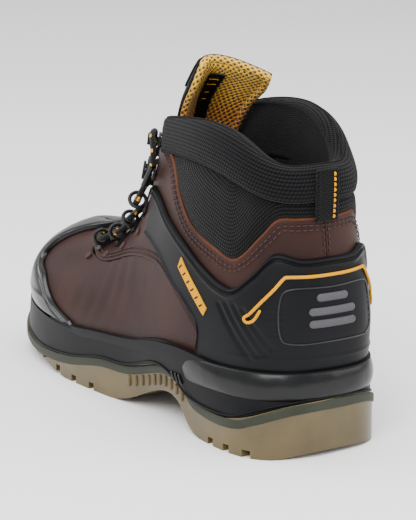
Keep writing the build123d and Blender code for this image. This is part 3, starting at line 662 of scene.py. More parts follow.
def braid_mat(name, dark, light, fleck):
    """Round braided lace with yellow flecks; the hollows of the braid are painted darker as shade."""
    m, nt, b = node_mat(name)
    _, x, y, _ = axes_of(nt, "UV")
    pitch = 0.0016
    h = weave(nt, times(nt, x, math.pi / pitch), times(nt, y, math.pi * 6))
    # painted shade: colour follows the braid height, dark in its hollows
    col = ramp(nt, h, [(0.05, dark), (0.7, light)])
    waves = ((x, math.pi / 0.0042, 0.8), (y, math.pi * 4, 0.6))
    spots = [value_of(nt, "GREATER_THAN", value_of(nt, "SINE", times(nt, at, rate)), over)
             for at, rate, over in waves]
    nt.links.new(mixed(nt, times(nt, *spots), col, fleck), b.inputs["Base Color"])
    surface(b, Roughness=0.75, Sheen_Weight=0.1, Specular_IOR_Level=0.12)
    bumped(nt, b, h, 0.8, 0.0006)
    return m


LEATHER = leather_mat()
RAW_EDGE = plain_mat("raw_edge", (0.085, 0.026, 0.011), 0.85, 1500, 0.35, 0.2, 0.35)
THREAD = plain_mat("thread", (0.045, 0.020, 0.019), 0.7, 1800, 0.3, 0.3)
# the first colour of each knit is painted shade for its grooves, the second the yarn's own colour
TEXTILE = rib_mat("collar_textile", (0.0010, 0.0010, 0.0012), (0.0115, 0.0115, 0.0125))
INNER_TEXTILE = rib_mat("collar_inner", (0.0010, 0.0010, 0.0012), (0.0075, 0.0075, 0.0085), 0.0013, 0.0011)
MESH = mesh_mat()
SUPPORT = plain_mat("moulded_support", (0.0036, 0.0038, 0.0046), 0.42, 900, 0.10, 0.13)
RIM_GLOSS = plain_mat("support_rim", (0.003, 0.003, 0.0037), 0.36, 600, 0.06, 0.5)
BUMPER = plain_mat("toe_rubber", (0.0028, 0.003, 0.0035), 0.24, 240, 0.03, 0.4, 0.2, 0.15)
MIDSOLE = plain_mat("midsole", (0.0046, 0.0048, 0.0056), 0.48, 420, 0.16, 0.12)
LEDGE = plain_mat("midsole_ledge", (0.0026, 0.0028, 0.0032), 0.30, 300, 0.22, 0.28, 0.3, 0.06)
OUTSOLE = amber_mat()
BAND = plain_mat("outsole_band", (0.027, 0.030, 0.020), 0.55, 420, 0.10, 0.2)
YELLOW = plain_mat("yellow_trim", (0.62, 0.27, 0.001), 0.6, 900, 0.12, 0.12, 0.1)
BARS = plain_mat("bars", (0.068, 0.066, 0.074), 0.5, 900, 0.06, 0.15, 0.12)
HARD = plain_mat("hardware", (0.004, 0.004, 0.005), 0.34, 400, 0.03, 0.3)
STEEL = plain_mat("steel", (0.55, 0.55, 0.57), 0.35, 300, 0.03, 0.5, 0.05, 0, 1.0)
# webbing: the first colour is painted shade for the grooves of its weave
WEB = rib_mat("webbing", (0.0010, 0.0010, 0.0012), (0.011, 0.011, 0.012), 0.0012, 0.0022)
LABEL = plain_mat("label", (0.003, 0.003, 0.0034), 0.5, 1200, 0.1, 0.4)
INSOLE = plain_mat("insole", (0.035, 0.035, 0.04), 0.9, 1400, 0.3, 0.2)
# the lace's first colour is painted shade for the hollows of its braid
LACE = braid_mat("lace", (0.0012, 0.0012, 0.0014), (0.012, 0.012, 0.013), (0.75, 0.36, 0.02))
FOAM = plain_mat("foam", (0.45, 0.38, 0.22), 0.95, 900, 0.4, 0.2)

# ---- leather upper
LEATHER_TOP = [
    (0.0, 0.775), (0.8, 0.78), (1.35, 0.77), (1.8, 0.69), (2.5, 0.565), (3.2, 0.58),
    (4.1, 0.63), (4.85, 0.72), (5.4, 0.825), (6.1, 0.885), (6.75, 0.935), (7.4, 0.87),
    (8.4, 0.80), (9.4, 0.77), (10.4, 0.75), (11.3, 0.74),
]
QUARTER_LOW = [
    (0.0, 0), (0.8, 0), (1.4, 0), (2, 0), (2.6, 0), (3.2, 0.02), (3.7, 0.20), (4.2, 0.30),
    (4.8, 0.38), (5.4, 0.435), (6.1, 0.455), (6.9, 0.465), (7.8, 0.475), (8.8, 0.485),
    (9.8, 0.51), (11.05, 0.62),
]


def level(t, *stations):
    """Edge at one height."""
    return [(s, t) for s in stations]


def mirrored(path, side):
    """The same outline on the lateral (0) or medial (1) side."""
    return [(-s if side else s, t) for s, t in path]


def whole(half):
    """An outline carried on round the toe to the medial side."""
    return half + [(ROUND - s, t) for s, t in half[-2::-1]]


def vamp_top(g):
    """Soft creases where the foot flexes."""
    k = np.minimum(g["s"], ROUND - g["s"])
    zone = bump(k, 8.6, 1.5) * bump(g["t"], 0.33, 0.20)
    crease = np.sin(k * 9 + 3 * np.sin(g["t"] * 7)) * 0.32
    return zone * crease + 0.12 * ripple(g["p"], 60)


VAMP_TOP_LINE = [
    (3.3, 0.14), (4.0, 0.30), (4.8, 0.40), (5.7, 0.46), (6.8, 0.475), (8.0, 0.48),
    (9.4, 0.50), (10.9, 0.60), (11.35, 0.84), (11.6, 1.0), (12.9, 1.0), (14, 1.0),
]
VAMP_LOW_LINE = level(0, 3.2, 4.1, 5.1, 6.2, 7.3, 8.4, 9.5, 10.5, 11.3, 12.1, 13.1, 14)
LEATHER_UNDER = -2.0    # inner face of the leather
vamp = panel("vamp", whole(VAMP_LOW_LINE), whole(VAMP_TOP_LINE), vamp_top, LEATHER_UNDER,
             [LEATHER], 220, 40, 1.0, 0.6)
finish_piece(vamp, ["vamp"])


def quarter_top(g):
    """Stands a little above the vamp along their lapped seam, with gentle hand-cut waviness."""
    k = np.abs(g["s"])
    lap = 1.0 * np.clip((k - 3.0) / 0.5, 0, 1) * np.exp(-g["lo"] / 9.0)
    pull = 0.25 * bump(g["hi"], 4.3, 1.6)
    return lap - pull + 0.13 * ripple(g["p"], 55, 2.0)


for side, label in ((0, "lateral"), (1, "medial")):
    q = panel("quarter_" + label, mirrored(QUARTER_LOW, side), mirrored(LEATHER_TOP, side),
              quarter_top, LEATHER_UNDER, [LEATHER, RAW_EDGE], 220, 44, 0.9, 0.75, (0, 1, 1, 1))
    finish_piece(q, ["quarter_" + label])
    edge = line("leather_edge_" + label, mirrored(LEATHER_TOP, side), -0.75, 0.85, [RAW_EDGE], 260, 0.9)
    finish_piece(edge)

# ---- stitching on the leather
SEAM_ROWS = []
for side in (0, 1):
    top = mirrored(LEATHER_TOP[:15], side)
    out = 1 if side == 0 else -1
    front = mirrored(QUARTER_LOW[8:] + [(11.3, 0.72)], side)
    SEAM_ROWS += [seam(top, 0.25, -3.4 * out), seam(top, 0.25, -6.0 * out)]
    SEAM_ROWS += [seam(front, 1.15, 2.4 * out), seam(front, 1.05, 4.9 * out)]
stitches = stitch_mesh("leather_stitching", SEAM_ROWS, [THREAD])
finish_piece(stitches)
BACK_SEAM = [(0.0, 0.62), (0.0, 0.68), (0.0, 0.765)]
back_rows = [seam(BACK_SEAM, 0.2, off) for off in (-1.6, 1.6)]
back = stitch_mesh("back_seam", back_rows, [THREAD], 2.6, 1.3, 0.4)
finish_piece(back)
ridge = line("back_seam_ridge", [(0.0, 0.615), (0.0, 0.68), (0.0, 0.772)], 0.1, 0.55, [LEATHER], 40)
finish_piece(ridge)

# ---- moulded side support
SUPPORT_LOW = level(0.0, 0, 0.7, 1.4, 2.0, 2.6, 3.2) + [
    (3.55, 0.05), (3.5, 0.2), (3.95, 0.31), (4.55, 0.38), (5.15, 0.455), (5.8, 0.51), (6.5, 0.55),
]
SUPPORT_TOP = [
    (0, 0.61), (0.7, 0.61), (1.4, 0.63), (1.9, 0.54), (2.45, 0.45), (2.9, 0.455),
    (3.3, 0.485), (3.7, 0.52), (4.15, 0.56), (4.7, 0.6), (5.3, 0.645), (5.9, 0.70), (6.5, 0.735),
]


def both_sides(half):
    """An outline carried on round the heel to the medial side."""
    return [(-s, t) for s, t in half[:0:-1]] + half


GROOVE_LINES = [
    ((2.85, 0.36), (2.0, 0.10)), ((2.65, 0.37), (1.83, 0.12)),
    ((2.42, 0.37), (1.64, 0.14)), ((2.2, 0.36), (1.5, 0.17)),
]
STATION_MM = 22         # about how far apart two stations are at the heel
HEIGHT_MM = 110         # about how far it is from t = 0 to t = 1 there


def step_up(x, place, slope):
    """0 below place and 1 above it, the other way round if slope is negative."""
    return 1 / (1 + np.exp((place - x) * slope))


def support_top(g):
    """Double rolled top edge, slanted grooves and a raised field round the heel."""
    k = np.abs(g["s"])
    t = g["t"]
    h = 2.15
    for place, width, rise in ((1.5, 1.0, 1.15), (5.0, 1.1, 0.95), (3.2, 0.7, -0.55)):
        h = h + rise * bump(g["hi"], place, width)
    front = np.clip((k - 3.3) / 0.3, 0, 1)
    h = h + front * 0.9 * bump(g["lo"], 1.8, 1.0)
    for (k0, t0), (k1, t1) in GROOVE_LINES:
        dx, dy = (k1 - k0) * STATION_MM, (t1 - t0) * HEIGHT_MM
        px, py = (k - k0) * STATION_MM, (t - t0) * HEIGHT_MM
        f = np.clip((px * dx + py * dy) / (dx * dx + dy * dy), 0, 1)
        dist = np.hypot(px - f * dx, py - f * dy)
        h = h - 0.9 * np.exp(-(dist / (1.0 + 0.8 * f)) ** 2)
    h = h + 0.45 * step_up(k, 1.25, -14) * step_up(t, 0.20, 90) * step_up(t, 0.475, -90)
    for t0 in (0.245, 0.27, 0.295, 0.335, 0.36, 0.385):
        h = h - 0.35 * bump(t, t0, 0.004) * bump(k, 1.35, 0.16)
    h = h + 0.35 * bump(g["lo"], 10.0, 1.2) * step_up(k, 2.6, -6)
    return h + 0.05 * ripple(g["p"], 70, 5.0)


support = panel("side_support", both_sides(SUPPORT_LOW), both_sides(SUPPORT_TOP), support_top, 0.1,
                [SUPPORT], 420, 130, 1.1, 0.3)
finish_piece(support, ["side_support"])

# ---- trims
LINE_MID = [
    (1.98, 0.345), (1.7, 0.41), (1.4, 0.475), (1.18, 0.525), (1.05, 0.533), (0.5, 0.532), (0.0, 0.532),
]
LINE_HOOK = [(1.98, 0.345), (2.12, 0.322), (2.05, 0.302), (1.88, 0.318), (1.72, 0.372)]
trim = [line("heel_trim_line", LINE_MID + mirrored(LINE_MID[-2::-1], 1), 3.0, 0.95, [YELLOW], 320, 0.8)]
for side in (0, 1):
    trim.append(line("trim_hook_%d" % side, mirrored(LINE_HOOK, side), 2.85, 0.9, [YELLOW], 60, 0.8))
finish_piece(join("heel_trim_line_all", trim), ["heel_trim_line"])

BAR_R = 2.3
BAR_POINTS = 70
bars = []
for reach, mid in ((0.42, 0.429), (0.62, 0.362), (0.62, 0.300)):
    length = 2 * reach * STATION_MM
    at = np.linspace(0, length, BAR_POINTS)
    end = np.clip(np.minimum(at, length - at) / BAR_R, 0, 1)
    round_end = np.maximum(BAR_R * np.sqrt(1 - (1 - end) ** 2), 0.05)
    bars.append(line("bar_%d" % len(bars), [(-reach, mid), (0, mid), (reach, mid)], 2.9, round_end,
                     [BARS], BAR_POINTS, 0.62, 16, False))
finish_piece(join("reflective_bars_shaped", bars), ["reflective_bars"])

FRAME_SIDE = [(0.0, 0.20), (1.024, 0.20), (1.28, 0.25), (1.28, 0.415), (1.024, 0.475), (0.0, 0.475)]
frame_path = mirrored(FRAME_SIDE[1:2], 1) + FRAME_SIDE + mirrored(FRAME_SIDE[4:0:-1], 1)
heel_frame = line("heel_frame", frame_path, 2.65, 0.45, [RIM_GLOSS], 260, 0.7)
finish_piece(heel_frame)

BADGE_LOW = [(3.3, 0.285), (3.62, 0.35), (3.95, 0.41), (4.3, 0.465)]
BADGE_TOP = [(3.2, 0.325), (3.5, 0.39), (3.85, 0.45), (4.2, 0.508)]
badges = []
for side in (0, 1):
    badges.append(panel("badge_%d" % side, mirrored(BADGE_LOW, side), mirrored(BADGE_TOP, side),
                        3.1, 2.0, [YELLOW], 60, 16, 0.6, 0.4))
    for i in range(6):
        f = (i + 0.7) / 6.4
        foot, slanted_foot = through(BADGE_LOW, np.array([f, f + 0.06]))
        top = through(BADGE_TOP, f)
        p0 = slanted_foot + (top - slanted_foot) * 0.22
        p1 = foot + (top - foot) * 0.78
        bar = mirrored([p0, (p0 + p1) / 2, p1], side)
        badges.append(line("badge_bar_%d_%d" % (side, i), bar, 3.15, 0.5, [SUPPORT], 12, 0.7))
finish_piece(join("side_badges_shaped", badges), ["side_badges"])

# ---- ankle panels
PANEL_LOW = [
    (0.0, 0.772), (0.8, 0.78), (1.35, 0.77), (1.83, 0.69), (2.5, 0.562), (3.2, 0.577),
    (4.05, 0.63), (4.9, 0.735), (5.35, 0.83),
]
PANEL_TOP = level(0.85, 0.0, 0.8, 1.4, 2.0, 2.6, 3.2) + [(3.95, 0.852), (4.8, 0.855), (5.5, 0.862)]


def ankle_top(g):
    """Puffs out between the leather edge and the seam under the collar roll."""
    full = np.clip(g["lo"] / 9, 0, 1) ** 0.8 * np.clip(g["hi"] / 7, 0, 1) ** 0.8
    return -0.9 + 2.1 * full + 0.25 * ripple(g["p"], 42, 1.0)


for side, label in ((0, "lateral"), (1, "medial")):
    o = panel("ankle_panel_" + label, mirrored(PANEL_LOW, side), mirrored(PANEL_TOP, side),
              ankle_top, -2.6, [TEXTILE], 130, 44, 1.4, 0.2, (0, 1, 1, 1))
    edge_pts = []
    for path in (PANEL_LOW, PANEL_TOP):
        st = through(mirrored(path, side), np.linspace(0, 1, 80))
        edge_pts += list(lift(st[:, 0], st[:, 1], -1.0))
    puff(o, edge_pts, 1.3)
    finish_piece(o, ["ankle_panel_" + label])

# ---- collar roll and lining
PAD_DEPTH = [(-0.3, 12.0), (1, 12.0), (2, 12.2), (3, 12.2), (4, 11), (5, 7.6), (6.3, 3.4)]


def pad_depth(k):
    """Depth of the padding behind the leather face, in mm."""
    return np.interp(k, [p[0] for p in PAD_DEPTH], [p[1] for p in PAD_DEPTH])


ROLL_T = 0.955          # height of the top of the roll
ROLL_FOOT = 0.848       # height of the seam under it
ROLL_END = 6.25
ROLL_COUNTS = (13, 15, 12)      # columns on the outer face, over the top and down the inner face


def roll_grid(skin):
    """Sections of the collar roll, skin mm inside its surface."""
    s = np.linspace(-ROLL_END, ROLL_END, 200)
    k = np.abs(s)
    depth = pad_depth(k)
    fade = np.clip((ROLL_END - k) / 0.5, 0, 1)
    out = 0.7 - skin
    inside = -depth + skin
    centre = (out + inside) / 2
    radius = (out - inside) / 2
    n0 = normal(s, ROLL_T)
    mid = lift(s, ROLL_T, centre)
    up = unit(lift(s, 1.0, 0) - lift(s, 0.93, 0))
    outside, over, within = ROLL_COUNTS
    cols = []
    for j in range(outside):
        v = j / (outside - 1)
        swell = 2.7 * np.sin(math.pi * min(1, 0.1 + 0.86 * v)) ** 0.8 - (0.9 if j == 0 else 0)
        cols.append(lift(s, ROLL_FOOT + (ROLL_T - ROLL_FOOT) * v, out + swell * (0.35 + 0.65 * fade)))
    for j in range(1, over + 1):
        a = math.pi * j / (over + 1)
        h = radius * 0.82 * math.sin(a)
        lean = radius * math.cos(a) + 0.35 * math.cos(a) * fade
        cols.append(mid + n0 * (lean * MM)[:, None] + up * (h * MM)[:, None])
    for j in range(within):
        v = j / (within - 1)
        cols.append(lift(s, ROLL_T - 0.17 * v, inside - 0.9 * math.sin(math.pi * v)))
    return np.stack(cols, 1)


smooth_roll = roll_grid(0)
outer = smooth_roll + (ripple(smooth_roll, 38, 3.0) * 0.45 * MM)[..., None] * np.array([0.6, 0.3, 0.4])
collar = grid_shell("collar_roll", outer, roll_grid(1.4), [TEXTILE, INNER_TEXTILE])
INNER_FROM = 24         # first column that wears the inner textile
roll_rows, roll_cols = outer.shape[:2]
inside_face = []
for poly in collar.data.polygons:
    ids = [v % (roll_rows * roll_cols) % roll_cols for v in poly.vertices]
    inside_face.append(1 if min(ids) >= INNER_FROM else 0)
collar.data.polygons.foreach_set("material_index", inside_face)
held = list(outer[::3, 0]) + list(outer[::3, -1]) + list(outer[0]) + list(outer[-1])
puff(collar, held, 1.2)
finish_piece(collar, ["collar_roll"])
seam_line = line("collar_seam", level(0.851, *np.linspace(-5.4, 5.4, 12)), -0.35, 0.5, [TEXTILE], 200)
finish_piece(seam_line)
RIM_COLUMN = 19         # column along the crest of the roll
rim_bead = tube("collar_rim_bead", smooth_roll[:, RIM_COLUMN], 0.75, [WEB], 8)
finish_piece(rim_bead)


def edge_at(stations, profile):
    """Edge of a lining: height t looked up by distance in stations from the heel."""
    ks = np.minimum(np.abs(stations), ROUND - stations)
    return [(s, float(np.interp(k, *profile))) for s, k in zip(stations, ks)]


def lining_face(depth):
    return lambda g: -pad_depth(np.abs(g["s"])) + depth + 0.5 * ripple(g["p"], 45, 4.0)


LINING_LOW = ([0, 1, 2, 3, 4.2, 5.2, 6.2], [0.50, 0.50, 0.49, 0.49, 0.55, 0.62, 0.70])
lining_s = np.linspace(-6.2, 6.2, 15)
lining = panel("collar_lining", edge_at(lining_s, LINING_LOW), level(0.80, *lining_s),
               lining_face(0.9), lining_face(-0.2), [INNER_TEXTILE], 150, 36, 0.8, 0.5)
finish_piece(lining, ["collar_lining"])

FOAM_LOW = ([0, 1, 2, 3, 4.2, 5.2, 6], [0.62, 0.60, 0.53, 0.53, 0.58, 0.66, 0.74])
foam_s = np.linspace(-6, 6, 15)
foam = panel("collar_padding", edge_at(foam_s, FOAM_LOW), level(0.94, *foam_s),
             -2.8, lambda g: -pad_depth(np.abs(g["s"])) + 2.3, [FOAM], 90, 20, 1.0, 0.4)
finish_piece(foam, ["collar_padding"])

SOCK = (
    [0, 1, 2, 3, 4.2, 5.4, 6.6, 8, 9.4, 10.6, 11.6, 12.5, 14],
    [0.52, 0.52, 0.51, 0.51, 0.54, 0.56, 0.57, 0.55, 0.54, 0.58, 0.74, 1.0, 1.0],
)
sock_s = np.linspace(-0.001, ROUND, 57)
sock = panel("boot_lining", level(0.01, *sock_s), edge_at(sock_s, SOCK), -4.3, -5.4,
             [MESH], 240, 26, 0.6, 0.5, (0, 0, 1, 1))
finish_piece(sock, ["boot_lining"])

# ---- toe bumper
def bumper_top(g):
    """Rolled inner edge with a groove beside it, then a smooth rubber face."""
    h = 0.35 + 3.7 * (0.5 + 0.5 * np.clip(g["hi"] / 16, 0, 1) ** 0.6)
    h = h + 0.8 * bump(g["hi"], 2.2, 1.3) - 0.5 * bump(g["hi"], 5.2, 1.0)
    return h + 0.35 * bump(g["lo"], 9, 1.4)


BUMPER_LOW = level(0.0, 9.2, 10.2, 11.0, 11.7, 12.4, 13.1, 13.6, 14)
BUMPER_TOP = [
    (9.4, 0.04), (10.4, 0.12), (11.35, 0.26), (12.2, 0.34), (12.6, 0.62), (12.95, 1.0), (13.6, 1.0),
    (14, 1.0),
]
bumper = panel("toe_bumper", whole(BUMPER_LOW), whole(BUMPER_TOP), bumper_top, 0.1,
               [BUMPER], 260, 60, 1.6, 0.25)
finish_piece(bumper, ["toe_bumper"])

# ---- tongue
TONGUE_ROWS = [
    (-1, -76, 71.5, 14, -78, 68, -16, -78, 68), (0, -55, 78, 20, -53, 72.5, -20, -53, 72.5),
    (0, -37, 93.5, 23, -34, 83, -23, -34, 83), (0, -21.5, 113, 22.5, -10, 108, -22.5, -10, 108),
    (0, -17, 134, 21, -5, 130, -21, -5, 130), (0, -12.5, 156, 21, 3, 151, -21, 4, 151),
    (0, -3, 177, 20.5, 11, 173, -21, 20, 172), (0, 10, 193, 20, 20, 187, -22.5, 34, 184),
    (1, 22, 202.5, 16, 23, 199, -20, 43, 193),
]


def tongue_base(w, v):
    """Front face of the tongue: w from its foot to its top, v from -1 to 1 across it."""
    r = through(TONGUE_ROWS, w)
    c, a, b = r[..., 0:3], r[..., 3:6], r[..., 6:9]
    vv = v[..., None]
    p = c + vv * (a - b) / 2 + vv * vv * ((a + b) / 2 - c)
    return (p * GRADE + np.array(SHIFT)) * MM


def tongue_at(w, v, h):
    """Point h mm in front of the tongue's front face."""
    w, v = np.broadcast_arrays(np.asarray(w, float), np.asarray(v, float))
    e = 0.02
    wc = np.clip(w, e, 1 - e)
    n = np.cross(tongue_base(wc + e, v) - tongue_base(wc - e, v),
                 tongue_base(wc, v + e) - tongue_base(wc, v - e))
    return tongue_base(w, v) - unit(n) * (np.asarray(h, float) * np.ones(w.shape))[..., None] * MM


def tongue_shell(name, w0, w1, v0, v1, top, under, mats, nu, nv, edge, blunt=0.3):
    """Rounded-edge shell on the tongue between two rows and two columns."""
    w = (w0 + (w1 - w0) * spread(nu))[:, None] * np.ones(nv)
    v = (v0 + (v1 - v0) * spread(nv))[None, :] * np.ones((nu, 1))
    p = tongue_base(w, v)
    d = border(p)[0]
    g = dict(v=v, d=d, p=p)
    h1 = top(g) if callable(top) else top + 0 * w
    h0 = under(g) if callable(under) else under + 0 * w
    r = np.clip(d / edge, 0, 1)
    mid = (h1 + h0) / 2
    k = blunt + (1 - blunt) * np.sqrt(1 - (1 - r) ** 2)
    outer = tongue_at(w, v, mid + (h1 - mid) * k)
    inner = tongue_at(w, v, mid + (h0 - mid) * k)
    return grid_shell(name, outer, inner, mats)


def core(v):
    """Back face of the padded tongue, thinner towards its sides."""
    return -2.35 - 3.8 * (1 - v ** 4)


def padded_back(g):
    return core(g["v"]) - 0.9 - 0.35 * bump(g["d"], 9, 4)


front = tongue_shell("tongue", 0, 1, -1, 1, lambda g: 0.15 * ripple(g["p"], 40, 6), -1.6,
                     [TEXTILE], 100, 44, 1.6)
finish_piece(front, ["tongue"], "tongue")
back_face = tongue_shell("tongue_lining", 0.005, 0.995, -0.99, 0.99,
                         lambda g: -1.9 - 0.3 * (1 - g["v"] ** 4), padded_back, [MESH], 120, 56, 4.2, 0.12)
edge_ring = []
for v in (-0.99, 0.99):
    edge_ring += list(tongue_at(np.linspace(0, 1, 60), v, -2.5))
for w in (0.005, 0.995):
    edge_ring += list(tongue_at(w, np.linspace(-1, 1, 20), -2.5))
puff(back_face, edge_ring, 0.9)
finish_piece(back_face, ["tongue_lining", "tongue_padding"], "tongue")
w_ring = np.concatenate([np.linspace(0.02, 1, 70), np.ones(30), np.linspace(1, 0.02, 70)])
v_ring = np.concatenate([np.ones(70), np.linspace(1, -1, 30), -np.ones(70)])
binding = tube("tongue_rolled_edge", tongue_at(w_ring, v_ring * 0.985, -3.1), 2.3, [MESH], 14, wrap=0.0145)
finish_piece(binding, (), "tongue")
piping = tube("tongue_piping", tongue_at(w_ring, v_ring, -0.9), 0.9, [TEXTILE], 8)
finish_piece(piping, (), "tongue")
label = tongue_shell("tongue_label", 0.66, 0.93, -0.36, 0.3, lambda g: core(g["v"]) - 1.2,
                     lambda g: core(g["v"]) - 2.3, [LABEL], 24, 14, 0.8)
finish_piece(label, ["tongue_label"], "tongue")
LABEL_MIDDLE = -0.03
label_rows = []
for w0, half in ((0.88, 0.24), (0.845, 0.24), (0.80, 0.14), (0.765, 0.14)):
    vs = np.linspace(LABEL_MIDDLE - half, LABEL_MIDDLE + half, 24)
    pts = tongue_at(w0, vs, core(vs) - 2.45)
    label_rows.append(tube("label_line_%d" % len(label_rows), pts, 0.4, [YELLOW], 6, 0.6))
finish_piece(join("label_lines", label_rows), (), "tongue")
patch = tongue_shell("tongue_front_patch", 0.80, 0.97, -0.62, 0.62, 1.7, 0.1, [SUPPORT], 40, 40, 1.5)
finish_piece(patch, ["tongue_front_patch"], "tongue")

# ---- lace
# Both ends cross from side to side, through each loop or hook and over the leather edge beside it.
LOOPS = [(10.5, 0.64), (9.6, 0.655), (8.6, 0.67), (7.45, 0.69), (6.95, 0.79), (6.8, 0.895)]
EDGES = [(10.65, 0.735), (9.85, 0.75), (8.95, 0.765), (7.85, 0.79), (7.35, 0.84), (7.2, 0.91)]
TAIL = [(6.45, 0.905, 6.2), (6.25, 0.86, 5.8), (6.27, 0.80, 5.2)]
LIFTS = [5.7, 5.7, 5.7, 6.2, 3.75, 3.75]        # height of each eye above its foot
BESIDE = [3.85, 3.85, 3.85, 3.85, 4.2, 4.2]     # from an eye's centre to where the lace leaves it
EDGE_LIFT = 4.0
EDGE_STEP = 3.2
LOW_LIFT = [0.0, 1.2, 1.2, 9.6, 10.5]   # how far each crossing stands off the straight way
CROSS_GAP = 4.7         # between the two ends where they cross
OUT = np.array([0, -0.75, 0.66])        # away from the tongue


def spot(side, k, t, h):
    """Point h mm above the leather on one side, and the normal there."""
    s = np.array([-k if side else k])
    t = np.array([t])
    return lift(s, t, h)[0], normal(s, t)[0]


def ahead(side, i):
    """Direction up the opening at one eye."""
    p, n = spot(side, *LOOPS[i], 0)
    x = spot(side, *EDGES[i], 0)[0] - p
    x -= n * x.dot(n)
    y = unit(np.cross(n, x))
    return y if side else -y


def eye(side, i, step):
    """Middle of an eye (step 0), or just below it (-1) or above it (1)."""
    return spot(side, *LOOPS[i], 0.25 + LIFTS[i])[0] + ahead(side, i) * BESIDE[i] * step * MM


def over(side, i, step):
    """Where the lace lies on the leather edge beside an eye."""
    return spot(side, *EDGES[i], EDGE_LIFT)[0] + ahead(side, i) * EDGE_STEP * step * MM


def cross(i, upper):
    """Where the two ends cross between rows i and i + 1."""
    mid = (eye(0, i, 0) + eye(1, i, 0) + eye(0, i + 1, 0) + eye(1, i + 1, 0)) / 4
    return mid + OUT * (LOW_LIFT[i] + (CROSS_GAP if upper else 0)) * MM


def lace_end(side):
    """One half of the lace, from the middle of its lowest run to its tip."""
    pts = [(eye(0, 0, 0) + eye(1, 0, 0)) / 2 + OUT * 1.5 * MM, over(side, 0, -1), eye(side, 0, -1)]
    for i in range(5):
        there = 1 - side
        pts += [eye(side, i, 1), over(side, i, 1), cross(i, (i + side) % 2 == 0)]
        pts += [over(there, i + 1, -1), eye(there, i + 1, -1)]
        side = there
    return pts + [eye(side, 5, 1)] + [spot(side, *place)[0] for place in TAIL]


laces = []
for side in (0, 1):
    path = through([p / MM for p in lace_end(side)], np.linspace(0, 1, 900)) * MM
    laces.append(tube("lace_%d" % side, path, 2.05, [LACE], 14, 0.86, taper=False))
finish_piece(join("lace_shaped", laces), ["lace"])

# ---- pull tab
TAB_STATIONS = (-0.34, -0.17, 0, 0.17, 0.34)
TAB_FOOT = 0.765
TAB_TOP = 0.985


def tab_under(t):
    """The webbing arches out over the collar roll."""
    v = np.clip((t - TAB_FOOT) / (TAB_TOP - TAB_FOOT), 0, 1)
    return 0.9 + 2.6 * np.sin(math.pi * np.minimum(1, v * 1.2) / 2)


def tab_face(g):
    return tab_under(g["t"]) + 1.7 + 0.25 * bump(np.abs(g["s"]), 0.27, 0.03)


tab = panel("pull_tab", level(TAB_FOOT, *TAB_STATIONS), level(TAB_TOP, *TAB_STATIONS),
            tab_face, lambda g: tab_under(g["t"]), [WEB], 50, 60, 0.8, 0.4)
finish_piece(tab, ["pull_tab"])
TAB_SEAM = -0.16
tab_t = np.linspace(0.772, 0.975, 60)
tab_row = (lift(TAB_SEAM, tab_t, tab_under(tab_t) + 1.75), normal(TAB_SEAM, tab_t))
tab_stitches = stitch_mesh("pull_tab_stitching", [tab_row], [YELLOW], 2.3, 0.7, 0.75)
finish_piece(tab_stitches, ["pull_tab_stitching"])

# ---- CAD pieces that stay
def cad(name, material, bevel):
    """Gives a CAD piece its material and, if it has hard edges, a small bevel in mm."""
    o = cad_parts[name]
    o.data.materials.clear()
    o.data.materials.append(material)
    if bevel:
        b = o.modifiers.new("edge", "BEVEL")
        b.width = bevel * MM
        b.segments = 2
        b.limit_method = "ANGLE"
        b.angle_limit = math.radians(40)


for name in ("lace_loops_lateral", "lace_loops_medial", "lock_loops", "lace_hooks"):
    cad(name, HARD, 0.3)
cad("rivets", THREAD, 0.3)
cad("aglets", HARD, 0.3)
cad("outsole", OUTSOLE, 1.1)
cad("midsole", MIDSOLE, 0.9)
cad("insole_board", INSOLE, 0)
cad("penetration_plate", STEEL, 0)
cad("footbed", INSOLE, 1.2)
cad("steel_toe_cap", STEEL, 0)
cad("toe_cap_edge_strip", HARD, 0)
cad("heel_stiffener", HARD, 0)

# ---- sole details
SOLE_OUTLINE = [
    (-2, 134), (22, 131), (38, 121), (46, 100), (47, 72), (47, 45), (48, 18), (52, -10),
    (56, -38), (58, -64), (57, -92), (51, -120), (37, -142), (15, -154), (-6, -157),
    (-27, -151), (-44, -136), (-55, -112), (-58, -84), (-57, -60), (-52, -34), (-45, -8),
    (-41, 18), (-40, 45), (-41, 72), (-42, 100), (-37, 121), (-24, 131),
]
SEAM_PROFILE = [
    (-166, 25), (-140, 20), (-118, 15), (-92, 12.5), (-57, 15.5), (-25, 22), (3, 24),
    (37, 33), (56, 30), (71, 21), (104, 20), (120, 25), (132, 31), (142, 33),
]


def outline(s):
    """Outline of the sole, once round from the heel."""
    p = np.array(SOLE_OUTLINE, float)
    p = np.vstack([p[-3:], p, p[:4]])
    x = (np.mod(s, ROUND) + 3) / (len(p) - 1)
    return (through(p, x) * GRADE + np.array(SHIFT[:2])) * MM


def seam_z(y):
    """Height of the seam between outsole and midsole."""
    prof = np.array(SEAM_PROFILE, float)
    fine = through(prof, np.linspace(0, 1, 400))
    return np.interp(y / MM, fine[:, 0] * GRADE + SHIFT[1], fine[:, 1] * GRADE) * MM


def sole_side(s, z):
    """Side of the midsole at height z in metres."""
    a = outline(s)
    b = lift(np.where(s > ROUND - 0.01, s - ROUND, s), 0 * s, 3.6)[:, :2]
    f = ((z / MM - 8) / 44)[:, None]
    xy = a + (b - a) * f
    return np.column_stack([xy, z])


def outward(s):
    """Level unit vector away from the sole."""
    d = outline(s + 0.05) - outline(s - 0.05)
    n = unit(np.column_stack([-d[:, 1], d[:, 0], 0 * s]))
    c = outline(s)
    return n * np.where(n[:, 0] * c[:, 0] + n[:, 1] * c[:, 1] > 0, 1, -1)[:, None]


